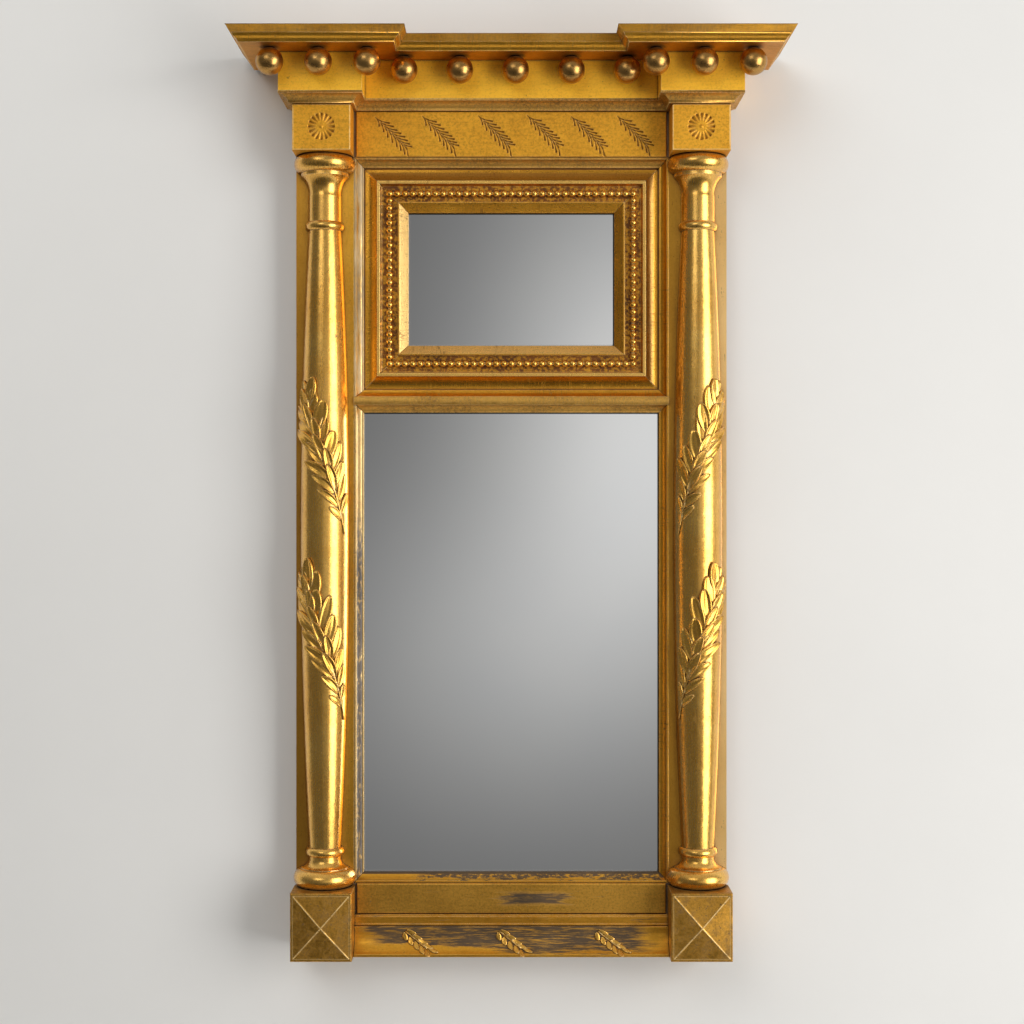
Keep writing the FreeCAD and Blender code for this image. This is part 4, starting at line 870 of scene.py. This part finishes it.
def make_frieze():
    """Panel with six incised sprigs."""
    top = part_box("frieze_panel")[1].z
    cuts = []
    for x, drop in SPRIG_STARTS:
        faint, full = sprig_strokes(x * MM, top - drop * MM)
        cuts += [(start, end, *FAINT_CUT) for start, end in faint]
        cuts += [(start, end, *FULL_CUT) for start, end in full]

    def cut_at(x, z):
        deep = np.zeros_like(x)
        for start, end, half, depth in cuts:
            deep = np.maximum(deep, groove(x, z, start, end, half, depth))
        return deep

    carved_board("carved_frieze", "frieze_panel", cut_at, 0.37 * MM, 1.0 * MM, gilt_frieze)


def rosette(x, z):
    """Depth of the gouged petals round a dot, over a grid from the middle of the rosette."""
    petals, inner, outer, depth, wide = 16, 5.4 * MM, 14.4 * MM, 2.0 * MM, 0.80
    dot_out, dot_rise = 2.2 * MM, 0.9 * MM
    out = np.hypot(x, z)
    share = (out - inner) / (outer - inner)
    turn = np.arctan2(z, x) * petals / (2 * math.pi)
    off = np.abs(turn - np.round(turn)) * 2
    gouge = depth * np.clip(share, 0.0, 1.0) ** 0.7 * np.clip((1 - share) * 9.0, 0.0, 1.0)
    petal = gouge * np.maximum(0.0, 1 - off / wide)
    dot = np.where(out < dot_out, -dot_rise * (1 - (out / dot_out) ** 2), 0.0)
    return np.where((share > 0) & (share < 1), petal, dot)


def make_die(side):
    """Block with a gouged rosette a little above its middle."""
    node, above_middle = f"die_{side}", 0.5 * MM
    (middle_x, middle_z), _ = front_of(node)

    def cut_at(x, z):
        return rosette(x - middle_x, z - middle_z - above_middle)

    carved_board(f"carved_{node}", node, cut_at, 0.4 * MM, 1.2 * MM, gilt_die)


def pyramid(x, z, half_x, half_z):
    """Fall of a low pyramid from its apex, with a raised line along each hip."""
    rise, margin, line_half, line_rise = 4 * MM, 2.7 * MM, 0.9 * MM, 0.5 * MM
    across, up = np.abs(x) / (half_x - margin), np.abs(z) / (half_z - margin)
    from_apex = np.maximum(across, up)
    off_hip = np.abs(across - up) * half_x * 0.72
    line = line_rise * np.maximum(0.0, 1 - (off_hip / line_half) ** 2)
    return rise * np.minimum(1.0, from_apex) - np.where(from_apex < 1.0, line, 0.0)


def make_plinth(side):
    """Block with a low pyramid on its face."""
    node = f"plinth_{side}"
    (middle_x, middle_z), half = front_of(node)

    def cut_at(x, z):
        return pyramid(x - middle_x, z - middle_z, *half)

    carved_board(f"carved_{node}", node, cut_at, 0.5 * MM, 1.2 * MM, gilt_block)


# sections of a leaf, as side and height: a hollow leaf with a rim and a vein, and a padded one
RIMMED = ((-1.0, -0.25), (-0.97, 0.5), (-0.86, 0.92), (-0.70, 1.0), (-0.50, 0.60), (-0.22, 0.36), (0.0, 0.56),
          (0.22, 0.36), (0.50, 0.60), (0.70, 1.0), (0.86, 0.92), (0.97, 0.5), (1.0, -0.25), (0.0, -0.35))
PILLOW = ((-1.0, -0.25), (-0.97, 0.5), (-0.8, 0.86), (-0.45, 1.0), (0.0, 0.9), (0.45, 1.0), (0.8, 0.86),
          (0.97, 0.5), (1.0, -0.25), (0.0, -0.35))


def leaf_rings(root, turn, length, width, thick, lift, onto, rows=13, profile=RIMMED, fullest=1.2, blunt=0.6,
               curl=0.0):
    """Rings of one leaf on a surface. onto(across, along, height) gives the point in space."""
    rings = []
    for row in range(rows):
        share = row / (rows - 1)
        fat = max(0.04, math.sin(math.pi * min(1.0, 0.06 + 0.92 * share) ** fullest)) ** blunt
        bend = 0.10 * width * math.sin(math.pi * share) + curl * length * share ** 2
        along = share * length
        ring = []
        for side, rise in profile:
            across = side * fat * width / 2 + bend
            up = thick * rise * (0.45 + 0.55 * fat) + lift * share ** 1.6 * (1.0 if rise > 0 else 0.55)
            ring.append(onto(root[0] + across * math.cos(turn) + along * math.sin(turn),
                             root[1] - across * math.sin(turn) + along * math.cos(turn), up))
        rings.append(ring)
    return rings


def stem_rings(spots, widths, thick, onto, sides=8):
    """Rings of a thin stem through spots on a surface."""
    rings = []
    for k, (across, along) in enumerate(spots):
        before, after = spots[max(0, k - 1)], spots[min(len(spots) - 1, k + 1)]
        way = math.atan2(after[0] - before[0], after[1] - before[1])
        ring = []
        for part in range(sides):
            around = 2 * math.pi * part / sides
            side = math.cos(around) * widths[k] / 2
            up = thick * (0.5 + 0.6 * math.sin(around))
            ring.append(onto(across + side * math.cos(way), along - side * math.sin(way), up))
        rings.append(ring)
    return rings


def shaft_surface(side_name, side):
    """Function that lays a point on the swelling half-round shaft of one column, mirrored by its side."""
    swell, end = 26.0 * MM, 17.4 * MM
    node = f"shaft_{side_name}"
    (middle_x, middle_z), (_, half_z) = front_of(node)
    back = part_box(node)[1].y

    def onto(across, along, up):
        radius = end + (swell - end) * (1 - ((along - middle_z) / half_z) ** 2)
        turn = across / radius
        out = radius + up
        return (middle_x + out * math.sin(turn) * -side, back - out * math.cos(turn), along)

    return onto


def make_spray(node, onto):
    """Leaf spray that leans round the shaft, with pairs of leaves, a middle row and a tip leaf on a stem."""
    tall, reach, sway = 160 * MM, 25 * MM, 2.2 * MM
    pairs, middle_leaves, stem_parts = 9, 6, 16
    (_, centre), _ = front_of(node)
    lean = math.atan2(-2 * reach, tall)
    points, faces = [], []

    def spot(share):
        across = reach - 2 * reach * share + sway * math.sin(2 * math.pi * share)
        return (across, centre + tall * (share - 0.54))

    stem = [spot(i / stem_parts) for i in range(stem_parts + 1)]
    widths = [(1.1 + 1.5 * min(1.0, i / 6)) * MM for i in range(stem_parts + 1)]
    skin(stem_rings(stem, widths, 1.5 * MM, onto), points, faces)
    for i in range(pairs):
        share = 0.11 + 0.70 * i / (pairs - 1)
        full = 0.32 + 0.68 * math.sin(math.pi * (0.04 + 0.76 * share)) ** 1.1
        for way in (-1, 1):
            at = spot(min(0.98, share + 0.02 * way))
            spread = math.radians(25 - 8 * share + chance.uniform(-7, 7))
            length = 40 * MM * full * chance.uniform(0.82, 1.1)
            width = 14 * MM * full * chance.uniform(0.85, 1.12)
            lift = (0.8 + 2.0 * ((i + (way > 0)) % 2)) * MM * full
            root = (at[0] + way * 1.6 * MM * full, at[1])
            rings = leaf_rings(root, lean + way * spread, length, width, 2.8 * MM * full, lift, onto,
                               curl=0.10 * way)
            skin(rings, points, faces)
    for i in range(middle_leaves):
        turn = lean + math.radians(chance.uniform(-11, 11))
        rings = leaf_rings(spot(0.28 + 0.10 * i), turn, 30 * MM, 10 * MM, 3.2 * MM, 2.6 * MM, onto)
        skin(rings, points, faces)
    skin(leaf_rings(spot(0.83), lean * 0.6, 30 * MM, 10 * MM, 2.2 * MM, 1.2 * MM, onto), points, faces)
    piece = new_piece(f"carved_{node}", points, faces, gilt_carved)
    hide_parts(node)


def cove_surface():
    """Function that lays a point on the coved foot, and the straight length of the cove."""
    out, top, fillet, hollow = 22 * MM, 10 * MM, 3 * MM, 4 * MM
    low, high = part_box("base_cove")
    tall = high.z - low.z - 2 * fillet
    chord = math.hypot(out - top, tall)
    normal_out, normal_up = tall / chord, (out - top) / chord

    def onto(across, along, up):
        """Along runs up the cove, from 0 at its lower fillet to the chord at its upper one."""
        share = along / chord
        sag = hollow * (1 - (2 * share - 1) ** 2)
        project = out + (top - out) * share - (sag - up) * normal_out
        level = fillet + tall * share - (sag - up) * normal_up
        return (across, high.y - project, low.z + level)

    return onto, chord


# middles of the three sprigs at the foot, and each one's two kinds of leaf, in millimetres and degrees
FOOT_SPRIGS = (-97.0, 2.5, 107.0)
LOWER_LEAF = {"angle": 74, "turn": -8, "side": -1, "length": 10.2, "width": 5.8}
UPPER_LEAF = {"angle": 22, "turn": 4, "side": 1, "length": 12.4, "width": 4.6}


def make_foot_sprig(name, middle, onto, chord):
    """Small sprig of padded leaves on the coved foot."""
    pairs, stem_parts = 5, 8
    start = (middle - 15.4 * MM, 0.93 * chord)
    end = (middle + 8.0 * MM, 0.26 * chord)
    points, faces = [], []

    def spot(share):
        return (start[0] + (end[0] - start[0]) * share, start[1] + (end[1] - start[1]) * share)

    for i in range(pairs):
        share = i / (pairs - 1)
        at = spot(share)
        for leaf in (LOWER_LEAF, UPPER_LEAF):
            angle = leaf["angle"] + leaf["turn"] * share
            turn = math.radians(90 + angle + chance.uniform(-3, 3))
            root = (at[0] + leaf["side"] * 1.3 * MM, at[1] + leaf["side"] * 1.0 * MM)
            length = (leaf["length"] - 2.0 * abs(share - 0.7)) * MM
            rings = leaf_rings(root, turn, length, leaf["width"] * MM, 1.2 * MM, 0.3 * MM, onto, rows=11,
                               profile=PILLOW, fullest=1.05, blunt=0.7)
            skin(rings, points, faces)
    stem = [spot(i / stem_parts) for i in range(stem_parts + 1)]
    skin(stem_rings(stem, [1.3 * MM] * len(stem), 1.0 * MM, onto), points, faces)
    new_piece(name, points, faces, gilt_carved)


make_frieze()
for side in ("left", "right"):
    make_die(side)
    make_plinth(side)
for side, sign in (("left", -1), ("right", 1)):
    for level in ("upper", "lower"):
        make_spray(f"leaf_spray_{side}_{level}", shaft_surface(side, sign))
onto_cove, chord = cove_surface()
for number, middle in enumerate(FOOT_SPRIGS, 1):
    make_foot_sprig(f"base_sprig_{number}", middle * MM, onto_cove, chord)


# stage, light and camera

FLOOR = -1.75
WALL = 0.007
WALL_PAINT = (0.85, 0.835, 0.80)
FLOOR_PAINT = (0.78, 0.77, 0.75)


def painted(name, colour, see_through_behind=False):
    """Matte paint, slightly uneven."""
    shader = Shader(name)
    uneven = shader.noise(3.0, 4.0, 0.6)
    shade = shader.blend(shader.ramp(uneven, 0.3, 0.7), colour, tuple(0.97 * part for part in colour))
    material = shader.finish(shade, 0.85, 0.0)
    if see_through_behind:
        mix = shader.add("ShaderNodeMixShader")
        shader.link(shader.add("ShaderNodeNewGeometry").outputs["Backfacing"], mix.inputs[0])
        shader.link(shader.surface.outputs[0], mix.inputs[1])
        shader.link(shader.add("ShaderNodeBsdfTransparent").outputs[0], mix.inputs[2])
        shader.link(mix.outputs[0], shader.out.inputs["Surface"])
    return material


def make_stage():
    """Wall just behind the hangers, open behind the carcass so that the back gets light too, and a floor."""
    far, head, near = 5.0, 3.0, -0.7
    side, low, high = 0.2220, -0.8690, 0.0660
    points = [(-far, WALL, FLOOR), (far, WALL, FLOOR), (far, WALL, head), (-far, WALL, head),
              (-side, WALL, low), (side, WALL, low), (side, WALL, high), (-side, WALL, high)]
    faces = [(0, 1, 5, 4), (1, 2, 6, 5), (2, 3, 7, 6), (3, 0, 4, 7)]
    new_mesh("wall", points, faces, painted("pale_wall", WALL_PAINT, True))
    points = [(-far, near, FLOOR), (far, near, FLOOR), (far, far, FLOOR), (-far, far, FLOOR)]
    new_mesh("floor", points, [(0, 1, 2, 3)], painted("pale_floor", FLOOR_PAINT))


def make_room():
    """Soft room light: pale at the right, a dimmer patch low in the middle, dark at the left and below."""
    world = bpy.data.worlds.new("room")
    bpy.context.scene.world = world
    room = Nodes(world)
    way = room.add("ShaderNodeSeparateXYZ")
    room.link(room.add("ShaderNodeTexCoord").outputs["Generated"], way.inputs[0])
    right, ahead, up = way.outputs

    def patch(strength, beside, wide, level, tall):
        """Soft bright patch of the room."""
        across = room.math("POWER", room.math("DIVIDE", beside, wide), 2.0)
        upward = room.math("POWER", room.math("DIVIDE", room.math("SUBTRACT", up, level), tall), 2.0)
        fall = room.math("EXPONENT", room.times(room.math("ADD", across, upward), -0.5))
        return room.times(fall, strength)

    ambient = 0.14
    window_side = room.math("MINIMUM", room.math("SUBTRACT", right, 0.09), 0.0)
    window = patch(0.55, window_side, 0.07, 0.05, 0.105)
    hall = patch(0.21, room.math("ADD", right, 0.005), 0.075, -0.085, 0.07)
    ground = room.times(room.math("LESS_THAN", up, -0.35), -0.07)
    glow = room.math("ADD", room.math("ADD", room.math("ADD", window, hall), ambient), ground)
    behind = room.times(room.math("GREATER_THAN", ahead, 0.0), 0.55)
    overhead = room.times(room.most(room.math("SUBTRACT", up, 0.3), 0.0), 0.7)
    background = room.add("ShaderNodeBackground")
    background.inputs["Color"].default_value = (1.0, 0.995, 0.985, 1.0)
    room.link(room.math("ADD", room.most(glow, behind), overhead), background.inputs["Strength"])
    room.link(background.outputs[0], room.add("ShaderNodeOutputWorld").inputs["Surface"])


def softbox(name, spot, width, tall, power):
    """Rectangular lamp at a spot, turned to the middle of the part and hidden from the camera."""
    middle = Vector((0.0, -0.05, -0.42))
    light = bpy.data.lights.new(name, "AREA")
    light.shape = "RECTANGLE"
    light.size, light.size_y = width, tall
    light.energy = power
    lamp = bpy.data.objects.new(name, light)
    lamp.location = spot
    lamp.rotation_mode = "QUATERNION"
    lamp.rotation_quaternion = (middle - Vector(spot)).to_track_quat("-Z", "Y")
    lamp.visible_camera = False
    bpy.context.scene.collection.objects.link(lamp)
    return lamp


def make_lights():
    """Key from the right, two fills from the upper left and one lamp behind."""
    softbox("key", (1.96, -1.76, -0.45), 1.55, 2.15, 48.0)
    softbox("fill", (-1.35, -3.50, 1.25), 1.8, 1.2, 13.0)
    top_fill = softbox("top_fill", (-0.90, -1.40, 1.10), 2.0, 1.5, 14.0)
    top_fill.visible_glossy = False
    softbox("back", (0.5, 2.2, 0.6), 2.2, 1.6, 45.0)


def make_camera():
    """Camera solved from the photograph: its focal length and its centre are in pixels."""
    focal, size, centre_x, centre_y = 1667.0, 1024.0, 511.4, 505.0
    sensor = 36.0
    view = bpy.data.cameras.new("photo")
    camera = bpy.data.objects.new("photo", view)
    bpy.context.scene.collection.objects.link(camera)
    view.sensor_width = sensor
    view.lens = sensor * focal / size
    view.shift_x = (size / 2 - centre_x) / size
    view.shift_y = (centre_y - size / 2) / size
    view.clip_start, view.clip_end = 0.05, 50.0
    camera.location = (0.0, -1.803, -0.400)
    camera.rotation_euler = (math.pi / 2, 0.0, 0.0)
    bpy.context.scene.camera = camera


make_stage()
make_room()
make_lights()
make_camera()
bpy.context.scene.view_settings.view_transform = "Standard"
